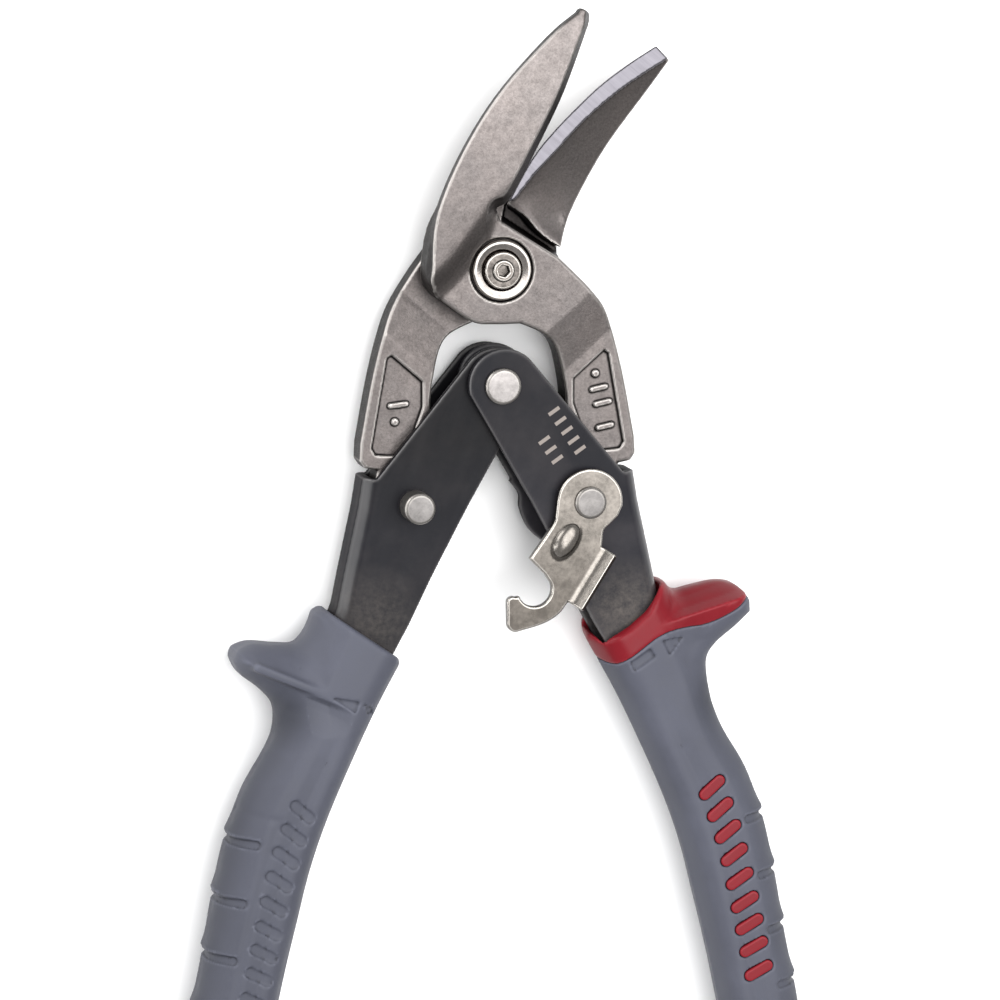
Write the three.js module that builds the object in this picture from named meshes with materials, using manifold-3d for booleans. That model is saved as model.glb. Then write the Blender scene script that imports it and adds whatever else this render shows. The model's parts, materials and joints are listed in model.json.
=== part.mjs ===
// Offset compound-action aviation snips, lying on their back, drawn open.
// Millimetres. +Z is up, out of the front face; +Y runs from the handles to the blade tips.
// The origin is the end face of the jaw pivot bolt, which touches the surface the tool lies on.
import * as THREE from "three";
import { mergeVertices } from "three/addons/utils/BufferGeometryUtils.js";
import Module from "manifold-3d";

const wasm = await Module();
wasm.setup();

// ---------------------------------------------------------------- driving dimensions

// Linkage: the jaws turn on JAW_PIVOT, the handles on HANDLE_PIVOT, and each handle drives
// the tang of its own jaw at a tang pin, TANG_X to the side of the centre line.
const JAW_PIVOT = [0, 0];
const HANDLE_PIVOT = [0, -23.2];
const TANG_X = 17.5;
const TANG_Y = -47;

// Heights of the stack. Everything is placed from SHEAR, the plane where the two bosses meet.
const SHEAR = 9.6;
const BLADE_PLANE = SHEAR + 4; // the blades shear on a plane raised above the bosses
const SLIDE_GAP = 0.1; // half the gap between surfaces that slide on each other
const BOSS_TOP = SHEAR + 6.2;
const BOSS_BOTTOM = SHEAR - 5.7;
const TANG_THICK = 6.9;
const SHEET = 2; // steel sheet of the handles
const EAR_REACH = 6.9; // from the shear plane to the outer face of an outer ear
const INNER_REACH = 4.6; // from the shear plane to the outer face of an inner ear
const GRIP_HALF = SHEAR; // the grips are as thick as the tool

const BOLT_R = 3;
const BOLT_HOLE_R = 3.4; // leaves room for the small error of a constant-ratio linkage
const RIVET_R = 2.7;
const BORE_PLAY = 0.15; // washers and sleeves turn freely round their bolts and rivets
const RIVET_HOLE_R = 2.85;
const POST_R = 3.15;
const TANG_END_R = 8;
const EAR_R = 7.3;
const LATCH_THICK = 1.8;
const LATCH_BOTTOM = SHEAR + EAR_REACH + 0.7;
const LATCH_TOP = LATCH_BOTTOM + LATCH_THICK;
const FIT = 0.25; // gap between moulded grip pieces and what they hold

const INLAY_COUNT = 9;
const INLAY_FIRST = 1.93; // places of the first and the last bar, counted in grip sections
const INLAY_LAST = 5.45;
const INLAY_LENGTH = 6.4;
const INLAY_WIDTH = 2.2;
const INLAY_LEAN = 0.35; // turn of each bar against the grip's own section, in radians
const INLAY_PROUD = 0.3;
const INLAY_DEPTH = 1.4;

const ROUND = 32; // segments of a turned piece

// ---------------------------------------------------------------- solids

function solidOf(geometry) {
  const bare = geometry.index ? geometry.toNonIndexed() : geometry.clone();
  bare.deleteAttribute("normal");
  bare.deleteAttribute("uv");
  const merged = mergeVertices(bare, 1e-4);
  return new wasm.Manifold(
    new wasm.Mesh({
      numProp: 3,
      vertProperties: merged.attributes.position.array,
      triVerts: new Uint32Array(merged.index.array),
    }),
  );
}

function geometryOf(solid) {
  const mesh = solid.getMesh();
  const geometry = new THREE.BufferGeometry()
    .setAttribute("position", new THREE.BufferAttribute(mesh.vertProperties, 3))
    .setIndex(new THREE.BufferAttribute(mesh.triVerts, 1))
    .toNonIndexed();
  geometry.computeVertexNormals();
  return geometry;
}

const vectors = (points) => points.map(([x, y]) => new THREE.Vector2(x, y));
const mirrored = (points) => points.map(([x, y]) => [-x, y]).reverse();
const shapeOf = (points) => new THREE.Shape(vectors(points));

// Points of a smooth curve through the given ones.
function smooth(points, count) {
  return new THREE.SplineCurve(vectors(points)).getPoints(count).map((p) => [p.x, p.y]);
}

// Points of an arc, angles in degrees.
function arc([x, y], radius, from, to, count) {
  return Array.from({ length: count + 1 }, (_, i) => {
    const angle = THREE.MathUtils.degToRad(from + ((to - from) * i) / count);
    return [x + radius * Math.cos(angle), y + radius * Math.sin(angle)];
  });
}

// A flat plate with the given outline, from height low to height high.
function plate(points, low, high) {
  const geometry = new THREE.ExtrudeGeometry(shapeOf(points), {
    depth: high - low,
    bevelEnabled: false,
  });
  return solidOf(geometry.translate(0, 0, low));
}

// A closed skin through rings of equally many [x, y, z] points, the first ring lowest.
function loft(rings) {
  const count = rings[0].length;
  const positions = rings.flat(2);
  const index = [];
  for (let r = 0; r + 1 < rings.length; r++)
    for (let i = 0; i < count; i++) {
      const a = r * count + i;
      const b = r * count + ((i + 1) % count);
      index.push(a, b, b + count, a, b + count, a + count);
    }
  const geometry = new THREE.BufferGeometry();
  geometry.setAttribute("position", new THREE.Float32BufferAttribute(positions, 3));
  for (const [ring, base, isFirst] of [
    [rings[0], 0, true],
    [rings.at(-1), (rings.length - 1) * count, false],
  ]) {
    const flat = flatten(ring);
    const flip = isFirst !== THREE.ShapeUtils.isClockWise(flat);
    for (const [a, b, c] of THREE.ShapeUtils.triangulateShape(flat, []))
      index.push(...(flip ? [base + c, base + b, base + a] : [base + a, base + b, base + c]));
  }
  geometry.setIndex(index);
  const made = solidOf(geometry);
  return made.volume() > 0 ? made : solidOf(turnedInsideOut(geometry));
}

// A ring's points in the plane it lies in, so that it can be triangulated.
function flatten(ring) {
  const span = (axis) => Math.max(...ring.map((p) => p[axis])) - Math.min(...ring.map((p) => p[axis]));
  if (span(2) < 0.6 * Math.max(span(0), span(1)) && Math.min(span(0), span(1)) > 1e-6)
    return ring.map(([x, y]) => new THREE.Vector2(x, y));
  const [x0, y0] = ring[0];
  const far = ring.reduce((best, p) =>
    Math.hypot(p[0] - x0, p[1] - y0) > Math.hypot(best[0] - x0, best[1] - y0) ? p : best,
  );
  const along = new THREE.Vector2(far[0] - x0, far[1] - y0).normalize();
  return ring.map(([x, y, z]) => new THREE.Vector2((x - x0) * along.x + (y - y0) * along.y, z));
}

function turnedInsideOut(geometry) {
  const index = geometry.index.array;
  for (let i = 0; i < index.length; i += 3) [index[i + 1], index[i + 2]] = [index[i + 2], index[i + 1]];
  return geometry;
}

// A piece turned about a vertical axis. The profile is [radius, height] pairs, bottom first,
// starting and ending on the axis or closing on itself.
function turned(profile, [x, y]) {
  const geometry = new THREE.LatheGeometry(vectors(profile), ROUND);
  geometry.rotateX(Math.PI / 2).translate(x, y, 0);
  const made = solidOf(geometry);
  return made.volume() > 0 ? made : solidOf(turnedInsideOut(mergeVertices(bareOf(geometry))));
}

function bareOf(geometry) {
  geometry.deleteAttribute("normal");
  geometry.deleteAttribute("uv");
  return geometry;
}

const peg = (centre, radius, low, high) =>
  turned([[0, low], [radius, low], [radius, high], [0, high]], centre);

const ringAround = (centre, inner, outer, low, high) =>
  turned([[inner, low], [outer, low], [outer, high], [inner, high], [inner, low]], centre);

// A block whose side view is the given [u, height] outline, u running outwards from the jaw
// pivot at the given heading in degrees, and which is as wide as the tool.
function headingBlock(profile, heading) {
  const width = 160;
  const geometry = new THREE.ExtrudeGeometry(shapeOf(profile), { depth: width, bevelEnabled: false });
  geometry.translate(0, 0, -width / 2).rotateX(Math.PI / 2);
  return solidOf(geometry.rotateZ(THREE.MathUtils.degToRad(heading)));
}

// ---------------------------------------------------------------- jaws

const TANG_HEADING = -49; // direction of the right tang from the jaw pivot, in degrees

// The edge of a tang from the boss to its foot, right-hand side of the tool.
const TANG_OUTER = [
  ...smooth([[11.8, 2.2], [18.6, -4.6], [22.2, -9.8], [25.3, -20.5], [28, -34.5]], 12),
  [28.2, -38],
  [27.2, -39.5],
  [24.6, -40],
];
const TANG_END = [[25.3, -44], ...arc([TANG_X, TANG_Y], TANG_END_R, 0, -180, 12)];
const TANG_INNER = smooth(
  [[9.7, -45], [12.4, -36.5], [13.7, -27.5], [12.6, -19.6], [10, -14], [4, -10.9]],
  12,
);
const POCKET = [
  [21.6, -16.8],
  [22.6, -17.5],
  [25.8, -35.6],
  [25, -37],
  [21, -37.3],
  [17, -32.5],
  [15.2, -27.5],
  [15.2, -22.4],
];
const POCKET_DEPTH = 0.7;

// Side views of the bosses and tangs: the boss is flat to BOSS_RUN, then the face turns over
// a ramp into the tang, which is centred in its own handle.
const BOSS_RUN = 15.7;
const RAMP_END = 24.5;
const FRONT_PROFILE = [
  [-60, SHEAR + SLIDE_GAP],
  [BOSS_RUN, SHEAR + SLIDE_GAP],
  [RAMP_END, SHEAR + INNER_REACH - TANG_THICK],
  [80, SHEAR + INNER_REACH - TANG_THICK],
  [80, SHEAR + INNER_REACH],
  [RAMP_END, SHEAR + INNER_REACH],
  [BOSS_RUN + 0.5, BOSS_TOP],
  [-60, BOSS_TOP],
];
const REAR_PROFILE = [
  [-60, BOSS_BOTTOM],
  [BOSS_RUN + 0.5, BOSS_BOTTOM],
  [RAMP_END, SHEAR - INNER_REACH],
  [80, SHEAR - INNER_REACH],
  [80, SHEAR - INNER_REACH + TANG_THICK],
  [RAMP_END, SHEAR - INNER_REACH + TANG_THICK],
  [BOSS_RUN, SHEAR - SLIDE_GAP],
  [-60, SHEAR - SLIDE_GAP],
];

// Each blade runs from root to tip between an outer edge and a cutting edge.
const EDGE_STEPS = 10;
const FRONT_OUTER = smooth(
  [[-14.9, 0], [-13.6, 10.4], [-8.6, 22.4], [-1, 34.4], [9.6, 46.1], [16.2, 51.8]],
  EDGE_STEPS,
);
const FRONT_CUTTING = smooth([[-0.6, 12], [2.6, 14.2], [7.9, 23.8], [13.6, 35.4], [19.1, 50]], EDGE_STEPS);
const REAR_CUTTING = smooth([[1.6, 12.9], [8, 23.6], [18.4, 34.2], [25.7, 39.8], [32.3, 43.9]], EDGE_STEPS);
const REAR_LAND = smooth([[4.2, 13.6], [9.6, 19.7], [15.2, 25.4], [28.8, 36.6], [34.9, 41.2]], EDGE_STEPS);
const REAR_OUTER = smooth([[13.4, 3.6], [16.6, 12.2], [22.6, 23.2], [30.8, 34.5], [35.3, 40.9]], EDGE_STEPS);

const mix = (a, b, t) => a + (b - a) * t;

// A ring round a blade. Each edge moves towards the other by its own inset, in millimetres,
// and stands at the height its own function gives, from root (0) to tip (1).
function bladeRing(left, right, { leftInset, rightInset, leftHeight, rightHeight }) {
  const last = left.length - 1;
  const side = (edge, other, inset, height) =>
    edge.map(([x, y], i) => {
      const [ox, oy] = other[i];
      const width = Math.hypot(ox - x, oy - y);
      const share = Math.min(0.45, inset(i / last) / width);
      return [mix(x, ox, share), mix(y, oy, share), height(i / last)];
    });
  return [
    ...side(right, left, rightInset, rightHeight),
    ...side(left, right, leftInset, leftHeight).reverse(),
  ];
}

const none = () => 0;

function frontBlade() {
  const low = () => BLADE_PLANE + SLIDE_GAP;
  const face = (t) => mix(SHEAR + 9, BLADE_PLANE + 2.8, t);
  return loft([
    bladeRing(FRONT_OUTER, FRONT_CUTTING, {
      leftInset: none,
      rightInset: none,
      leftHeight: low,
      rightHeight: low,
    }),
    bladeRing(FRONT_OUTER, FRONT_CUTTING, {
      leftInset: () => 0.2,
      rightInset: (t) => mix(1.8, 0.5, t),
      leftHeight: (t) => face(t) - 0.9,
      rightHeight: (t) => face(t) - 0.3,
    }),
    bladeRing(FRONT_OUTER, FRONT_CUTTING, {
      leftInset: () => 1,
      rightInset: (t) => mix(2.3, 0.8, t),
      leftHeight: face,
      rightHeight: face,
    }),
  ]);
}

// The foot of the front blade, where it swells out of the boss.
function frontBladeFoot() {
  const foot = [
    ...smooth([[-0.5, 10.4], [-3.2, 6.8], [-8.3, 0], [-13, -4.4]], 6),
    ...smooth([[-14.7, -2.4], [-15, 3], [-14, 8]], 4),
    [-6, 11.2],
  ];
  const face = [
    ...smooth([[-0.9, 12.6], [-4.1, 11.2], [-8.6, 4.7], [-12.6, -1.6]], 6),
    ...smooth([[-13.6, -1.2], [-14, 3.4], [-13.2, 8]], 4),
    [-6, 12],
  ];
  return loft([
    foot.map(([x, y]) => [x, y, SHEAR + SLIDE_GAP]),
    foot.map(([x, y]) => [x, y, BOSS_TOP]),
    face.map(([x, y]) => [x, y, SHEAR + 9]),
  ]);
}

function rearBlade() {
  const top = () => BLADE_PLANE - SLIDE_GAP;
  const bottom = (t) => mix(BOSS_BOTTOM, BLADE_PLANE - 5, t);
  const skin = loft([
    bladeRing(REAR_CUTTING, REAR_OUTER, {
      leftInset: (t) => mix(3.6, 0.9, t),
      rightInset: (t) => mix(1.2, 0.4, t),
      leftHeight: bottom,
      rightHeight: bottom,
    }),
    bladeRing(REAR_CUTTING, REAR_OUTER, {
      leftInset: (t) => mix(2.6, 0.7, t),
      rightInset: none,
      leftHeight: (t) => bottom(t) + 1,
      rightHeight: (t) => bottom(t) + 1,
    }),
    bladeRing(REAR_CUTTING, REAR_OUTER, {
      leftInset: none,
      rightInset: none,
      leftHeight: top,
      rightHeight: top,
    }),
  ]);
  // The face falls away beyond the ground land beside the cutting edge.
  const beyond = REAR_OUTER.map(([x, y], i) => [
    mix(REAR_LAND[i][0], x, 1.5),
    mix(REAR_LAND[i][1], y, 1.5),
  ]);
  const relief = (landHeight, beyondHeight) => [
    ...beyond.map(([x, y]) => [x, y, beyondHeight]),
    ...REAR_LAND.map(([x, y]) => [x, y, landHeight]).reverse(),
  ];
  return skin.subtract(
    loft([relief(BLADE_PLANE - 0.5, BLADE_PLANE - 3), relief(BLADE_PLANE + 3, BLADE_PLANE + 3)]),
  );
}

// Raised marks on the floor of a tang pocket: bars and a dot.
function pocketMarks(low, high, side, bars, dot) {
  const marks = bars.map(([x, y, length, turn]) => {
    const box = new THREE.BoxGeometry(length, 1.1, high - low);
    box.rotateZ(THREE.MathUtils.degToRad(turn)).translate(side * x, y, (low + high) / 2);
    return solidOf(box);
  });
  return marks.reduce((all, mark) => all.add(mark), peg([side * dot[0], dot[1]], 0.7, low, high));
}

function frontJaw() {
  const body = plate(
    [
      [0.2, 9.6],
      ...TANG_OUTER,
      ...TANG_END,
      ...TANG_INNER,
      ...smooth([[-1.2, -10.9], [-5.6, -10.4], [-10.7, -7], [-13.3, -4.5], [-14.6, 0], [-13.6, 5.4]], 10),
      ...arc(JAW_PIVOT, 11, 130, 95, 4),
    ].reverse(),
    0,
    BOSS_TOP + 1,
  ).intersect(headingBlock(FRONT_PROFILE, TANG_HEADING));
  const face = SHEAR + INNER_REACH;
  const bars = [
    [20.6, -24.6, 4.2, 12],
    [21.4, -27.2, 4.2, 12],
    [21.9, -31.6, 4.2, 12],
  ];
  return body
    .add(frontBlade())
    .add(frontBladeFoot())
    .subtract(plate(POCKET, face - POCKET_DEPTH, face + 1))
    .add(pocketMarks(face - POCKET_DEPTH - 0.2, face - 0.2, 1, bars, [19.9, -21.6]))
    .subtract(peg(JAW_PIVOT, BOLT_HOLE_R, 0, 30))
    .subtract(peg(JAW_PIVOT, 6.7, BOSS_TOP - 1.2, 30))
    .subtract(peg([TANG_X, TANG_Y], RIVET_HOLE_R, 0, 30));
}

function rearJaw() {
  const body = plate(
    [
      ...mirrored(TANG_INNER),
      ...arc([-TANG_X, TANG_Y], TANG_END_R, 0, -180, 12),
      [-25.3, -44],
      [-24.6, -40],
      [-27.2, -39.5],
      [-28.2, -38],
      ...smooth(
        [[-28, -34.5], [-25.3, -20.5], [-22.2, -9.8], [-18, -2.6], [-13.3, 3.8], [-8, 9.6], [1, 12.9]],
        14,
      ),
      [8, 20],
      [15.6, 10],
      ...smooth([[13.9, 3.4], [13.4, -3.6], [9.6, -8.8], [4, -10.6]], 6),
    ].reverse(),
    0,
    BOSS_TOP + 1,
  ).intersect(headingBlock(REAR_PROFILE, 180 - TANG_HEADING));
  const face = SHEAR - INNER_REACH + TANG_THICK;
  return body
    .add(rearBlade())
    .subtract(plate(mirrored(POCKET), face - POCKET_DEPTH, face + 1))
    .add(pocketMarks(face - POCKET_DEPTH - 0.2, face - 0.2, -1, [[20.4, -26.3, 4.6, -8]], [20.9, -30.4]))
    .subtract(peg(JAW_PIVOT, BOLT_R + 0.1, 0, 30))
    .subtract(peg([-TANG_X, TANG_Y], RIVET_HOLE_R, 0, 30));
}

// ---------------------------------------------------------------- jaw pivot

const WASHER_SEAT = BOSS_TOP - 1.2 + SLIDE_GAP;

const pivotWasher = () =>
  turned(
    [
      [BOLT_R + BORE_PLAY, WASHER_SEAT],
      [6.1, WASHER_SEAT],
      [6.1, WASHER_SEAT + 1],
      [5.6, WASHER_SEAT + 1.6],
      [4.2, WASHER_SEAT + 1.9],
      [3.9, WASHER_SEAT + 0.9],
      [BOLT_R + BORE_PLAY, WASHER_SEAT + 0.9],
      [BOLT_R + BORE_PLAY, WASHER_SEAT],
    ],
    JAW_PIVOT,
  );

const HEAD_LOW = WASHER_SEAT + 1;

function pivotBolt() {
  const top = HEAD_LOW + 1.9;
  const body = turned(
    [
      [0, 0],
      [BOLT_R - 0.3, 0],
      [BOLT_R, 0.3],
      [BOLT_R, HEAD_LOW],
      [3.7, HEAD_LOW],
      [3.7, top - 0.4],
      [3.3, top],
      [2.6, top],
      [2.4, top - 0.4],
      [2.1, top],
      [0, top],
    ],
    JAW_PIVOT,
  );
  const socket = new THREE.CylinderGeometry(1.45, 1.45, 3, 6).rotateX(Math.PI / 2);
  return body.subtract(solidOf(socket.translate(0, 0, top + 0.1)));
}

const NUT_HIGH = 3.2;

function pivotNut() {
  const nut = new THREE.CylinderGeometry(5.8, 5.8, NUT_HIGH, 6).rotateX(Math.PI / 2);
  return solidOf(nut.translate(0, 0, NUT_HIGH / 2)).subtract(peg(JAW_PIVOT, BOLT_R + 0.1, -1, NUT_HIGH + 1));
}

const pivotNutWasher = () => ringAround(JAW_PIVOT, BOLT_R + BORE_PLAY, 6.3, NUT_HIGH + 0.05, BOSS_BOTTOM - 0.05);

// ---------------------------------------------------------------- handles

const WEB_TOP = -41.2;
const EAR_CENTRE = [0.5, -23.1];
const BEND_R = 3;

// Sections of the right grip: the inner and the outer point, from the top down. The left grip
// has the same sections mirrored, apart from the first, which starts a little lower.
const GRIP_TOP = [[16.9, -74.4], [33.8, -64.6]];
const LEFT_GRIP_TOP = [[20.6, -77.9], [36.2, -67.2]];
const GRIP_SECTIONS = [
  [[24, -87.5], [42, -80.8]],
  [[30, -100], [46.8, -93.7]],
  [[34.8, -111], [52.6, -103.8]],
  [[38.3, -121], [56.6, -115]],
  [[41, -131.5], [59.3, -127.5]],
  [[43.5, -141.5], [61.3, -139]],
  [[46, -153], [63.7, -150.5]],
  [[48.2, -165], [65.8, -162.8]],
  [[49.7, -177], [67.6, -175.2]],
  [[50.6, -187], [69.6, -186.4]],
];
const WALL = 3.3; // of the grip, over the edges of the handle sheet

// A point on the line between the two sides of a section, inwards from the outer side or
// outwards from the inner side by the given distance.
function within([inner, outer], fromOuter, distance) {
  const [a, b] = fromOuter ? [outer, inner] : [inner, outer];
  const share = distance / Math.hypot(b[0] - a[0], b[1] - a[1]);
  return [mix(a[0], b[0], share), mix(a[1], b[1], share)];
}

const SHEET_RUN = 8; // how many of the grip's sections the sheet reaches down
const BARE_WEB = [[27.7, WEB_TOP], [28.7, -47.4], [31.6, -60.6], [33, -67.4]]; // above the grip
const BARE_EDGE = [[-6.7, -24.6], [1.6, -39], [6.2, -47], [14.1, -61.8], [18.7, -71.2]];
const WEB_LINE = [...BARE_WEB, ...GRIP_SECTIONS.map((s) => within(s, true, WALL))];
const FREE_EDGE = [...BARE_EDGE, ...GRIP_SECTIONS.map((s) => within(s, false, WALL))];

// Outline of the right handle's wall, with the web side moved in by inset, the free edge
// moved in by edgeInset and the end as far down as the given grip section.
function wallOutline(inset, edgeInset = 0, run = SHEET_RUN) {
  return [
    ...arc(EAR_CENTRE, EAR_R - edgeInset, 190, 39, 12),
    [25.2 - inset, WEB_TOP - 0.4],
    ...WEB_LINE.slice(0, BARE_WEB.length + run).map(([x, y]) => [x - inset, y]),
    ...FREE_EDGE.slice(0, BARE_EDGE.length + run).map(([x, y]) => [x + edgeInset, y]).reverse(),
  ];
}

// The outline at the heights of a sheet folded round the web, rounded at both bends.
function channelBlank(low, high) {
  const quarter = [0, 0.35, 0.7, 1].map((t) => (t * Math.PI) / 2);
  const levels = [
    ...quarter.map((a) => [BEND_R * (1 - Math.sin(a)), low + BEND_R * (1 - Math.cos(a))]),
    ...quarter.reverse().map((a) => [BEND_R * (1 - Math.sin(a)), high - BEND_R * (1 - Math.cos(a))]),
  ];
  return loft(levels.map(([inset, z]) => wallOutline(inset).map(([x, y]) => [x, y, z])));
}

// The handle sheet: two walls joined by a web on the outer side, with the ears running up to
// the handle pivot. The space between the walls is open on the inner side.
function handleSheet(low, high) {
  const hollow = [
    [-60, 20],
    [90, 20],
    [90, WEB_TOP],
    ...WEB_LINE.map(([x, y]) => [x - SHEET, y]),
    [64, -230],
    [-60, -230],
  ];
  return channelBlank(low, high)
    .subtract(plate(hollow, low + SHEET, high - SHEET))
    .subtract(peg(HANDLE_PIVOT, RIVET_HOLE_R, 0, 30))
    .subtract(peg([TANG_X, TANG_Y], RIVET_HOLE_R, 0, 30));
}

const RIGHT_LOW = SHEAR - INNER_REACH;
const RIGHT_HIGH = SHEAR + EAR_REACH;
const LEFT_LOW = SHEAR - EAR_REACH;
const LEFT_HIGH = SHEAR + INNER_REACH;

function rightHandle() {
  // A stop lobe stands out of the free edge of the rear wall.
  const lobe = [[5.9, -46.2], [5.8, -49], [7.4, -53.6], [12.4, -57.6], [13, -47]];
  return handleSheet(RIGHT_LOW, RIGHT_HIGH).add(plate(lobe, RIGHT_LOW, RIGHT_LOW + SHEET));
}

const leftHandle = () => handleSheet(LEFT_LOW, LEFT_HIGH).mirror([1, 0, 0]);

// ---------------------------------------------------------------- rivets, spring and latch

// A rivet headed at both ends, the shank running between the two clamped faces.
function rivet(centre, low, high, frontHead) {
  return turned(
    [
      [0, low - 1.2],
      [3, low - 1.2],
      [3.6, low - 0.6],
      [3.6, low - 0.05],
      [RIVET_R, low - 0.05],
      [RIVET_R, high + 0.05],
      [frontHead.radius, high + 0.05],
      [frontHead.radius, high + frontHead.height - 0.4],
      [frontHead.radius - 0.4, high + frontHead.height],
      [0, high + frontHead.height],
    ],
    centre,
  );
}

const handlePivotRivet = () => rivet(HANDLE_PIVOT, LEFT_LOW, RIGHT_HIGH, { radius: 3.65, height: 1.3 });
const latchPost = () => rivet([-TANG_X, TANG_Y], LEFT_LOW, LEFT_HIGH, { radius: POST_R, height: 5.3 });
const latchRivet = () => rivet([TANG_X, TANG_Y], RIGHT_LOW, LATCH_TOP, { radius: 3.25, height: 1 });

const SPRING_ROOM = INNER_REACH - SHEET - BORE_PLAY; // half the sleeve's length, between the inner ears
const springSleeve = () =>
  ringAround(HANDLE_PIVOT, RIVET_R + BORE_PLAY, 3.6, SHEAR - SPRING_ROOM, SHEAR + SPRING_ROOM);

const latchSpringWasher = () =>
  ringAround([TANG_X, TANG_Y], RIVET_R + BORE_PLAY, 4.8, RIGHT_HIGH + 0.1, LATCH_BOTTOM - 0.1);

const WIRE_R = 0.62;
const COIL_R = 4.5;
const COIL_TURNS = 2.6;
const COIL_PITCH = 1.36;

// A torsion spring round the sleeve, its legs bearing on the inner edges of the two tangs.
function returnSpring() {
  const [cx, cy] = HANDLE_PIVOT;
  const start = SHEAR - (COIL_TURNS * COIL_PITCH) / 2;
  const from = 200;
  const steps = 34;
  const coil = Array.from({ length: steps + 1 }, (_, i) => {
    const turns = (COIL_TURNS * i) / steps;
    const angle = THREE.MathUtils.degToRad(from - turns * 360);
    const [x, y] = [cx + COIL_R * Math.cos(angle), cy + COIL_R * Math.sin(angle)];
    return new THREE.Vector3(x, y, start + turns * COIL_PITCH);
  });
  const first = coil[0];
  const last = coil.at(-1);
  const path = new THREE.CatmullRomCurve3([
    new THREE.Vector3(-11.2, -38.5, start),
    new THREE.Vector3(-8.4, -32, start),
    first,
    ...coil.slice(1, -1),
    last,
    new THREE.Vector3(8.4, -32, last.z),
    new THREE.Vector3(11.2, -38.5, last.z),
  ]);
  const section = shapeOf(arc([0, 0], WIRE_R, 0, 300, 5));
  return solidOf(new THREE.ExtrudeGeometry(section, { extrudePath: path, steps: 120, bevelEnabled: false }));
}

// The latch at rest: a plate on the right tang pin, with a hook that fits the post on the left
// handle when the handles are shut, and a thumb tab folded up along its outer edge.
const HOOK_REACH = 20.72; // from the latch pin to the middle of the hook, the distance between
// the two tang pins when the handles are shut
const HOOK_HEADING = -123.4;
const HOOK_CENTRE = arc([TANG_X, TANG_Y], HOOK_REACH, HOOK_HEADING, HOOK_HEADING, 1)[0];
const HOOK_R = 3.45;

function latch() {
  const outline = [
    ...arc([TANG_X, TANG_Y], 6.8, -8, 172, 14),
    [9.9, -51.2],
    [5, -58],
    [8.1, -61.2],
    ...arc(HOOK_CENTRE, HOOK_R, 20, -160, 10),
    ...arc([1.5, -66.7], 1.2, 60, 170, 4),
    [0.3, -70.6],
    ...arc([2.2, -70.9], 1.9, 190, 280, 4),
    [10.9, -69.6],
    [12.9, -67.2],
    [20, -56],
    [20.3, -53.2],
    [23.3, -50.2],
  ];
  const blank = plate(outline, LATCH_BOTTOM, LATCH_TOP);
  const dimple = new THREE.SphereGeometry(1, 16, 10).scale(1.9, 3.4, 1.1);
  dimple.rotateZ(THREE.MathUtils.degToRad(-32));
  return blank
    .add(latchTab())
    .add(solidOf(dimple.translate(13, -54.8, LATCH_TOP)))
    .subtract(peg([TANG_X, TANG_Y], RIVET_HOLE_R, 0, 30));
}

function latchTab() {
  const base = [[12.9, -67.2], [20, -56]];
  const out = [0.845, -0.535]; // away from the plate, at right angles to the fold
  const at = (point, distance, z) => [point[0] + out[0] * distance, point[1] + out[1] * distance, z];
  const side = (point) => [
    at(point, -0.6, LATCH_BOTTOM),
    at(point, 0.9, LATCH_BOTTOM),
    at(point, 3.1, LATCH_BOTTOM + 2.1),
    at(point, 2.1, LATCH_BOTTOM + 3.2),
    at(point, 0.4, LATCH_TOP),
    at(point, -0.6, LATCH_TOP),
  ];
  return loft([side(base[0]), side(base[1])]);
}

// ---------------------------------------------------------------- grips

const SECTION_POINTS = 24;
const SQUARENESS = 2.9; // 2 would be an ellipse

// An oval section between an inner and an outer point, as thick as the tool.
function sectionRing([inner, outer], size = 1, proud = 0) {
  const centre = [mix(inner[0], outer[0], 0.5), mix(inner[1], outer[1], 0.5)];
  const half = [(outer[0] - inner[0]) / 2, (outer[1] - inner[1]) / 2];
  const grow = size + proud / Math.hypot(...half);
  return Array.from({ length: SECTION_POINTS }, (_, i) => {
    const angle = (i / SECTION_POINTS) * 2 * Math.PI;
    const round = (value) => Math.sign(value) * Math.abs(value) ** (2 / SQUARENESS);
    const across = round(Math.cos(angle)) * grow;
    const up = round(Math.sin(angle)) * (GRIP_HALF * size + proud);
    return [centre[0] + half[0] * across, centre[1] + half[1] * across, SHEAR + up];
  });
}

// The outer skin of a grip, without its guard.
function gripBody(top, proud = 0) {
  const end = [[51.6, -194], [70, -193.6]];
  return loft([
    sectionRing(top, 1, proud),
    ...GRIP_SECTIONS.map((section) => sectionRing(section, 1, proud)),
    sectionRing(end, 0.86, proud),
    sectionRing([[54, -197], [68, -196.8]], 0.6, proud),
  ]);
}

// A guard that stands out from the grip, rounded front and back.
function guard(points) {
  const round = { size: 2.6, thickness: 6 };
  const shape = shapeOf(points);
  const geometry = new THREE.ExtrudeGeometry(shape, {
    depth: 2 * (8.4 - round.thickness),
    bevelEnabled: true,
    bevelThickness: round.thickness,
    bevelSize: round.size,
    bevelOffset: -round.size,
    bevelSegments: 3,
  });
  return solidOf(geometry.translate(0, 0, SHEAR - 8.4 + round.thickness));
}

const RIGHT_GUARD = [
  ...smooth([[36.4, -67.4], [40.4, -66], [46.4, -65.4], [50.6, -67], [52.4, -70.4]], 8),
  ...smooth([[51.6, -73.2], [46.6, -76.8], [43.8, -80.6], [43.4, -85.6]], 6),
  [36, -92],
  [28, -82],
  [31, -69],
];
const LEFT_GUARD = [
  ...smooth([[36.6, -69], [39.4, -73], [44, -74.8], [50.6, -74.2], [54.2, -76.2]], 8),
  ...smooth([[54.2, -79], [50, -82.6], [46.6, -86], [45.6, -91]], 6),
  [40, -97],
  [30, -84],
  [33, -70],
];

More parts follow.
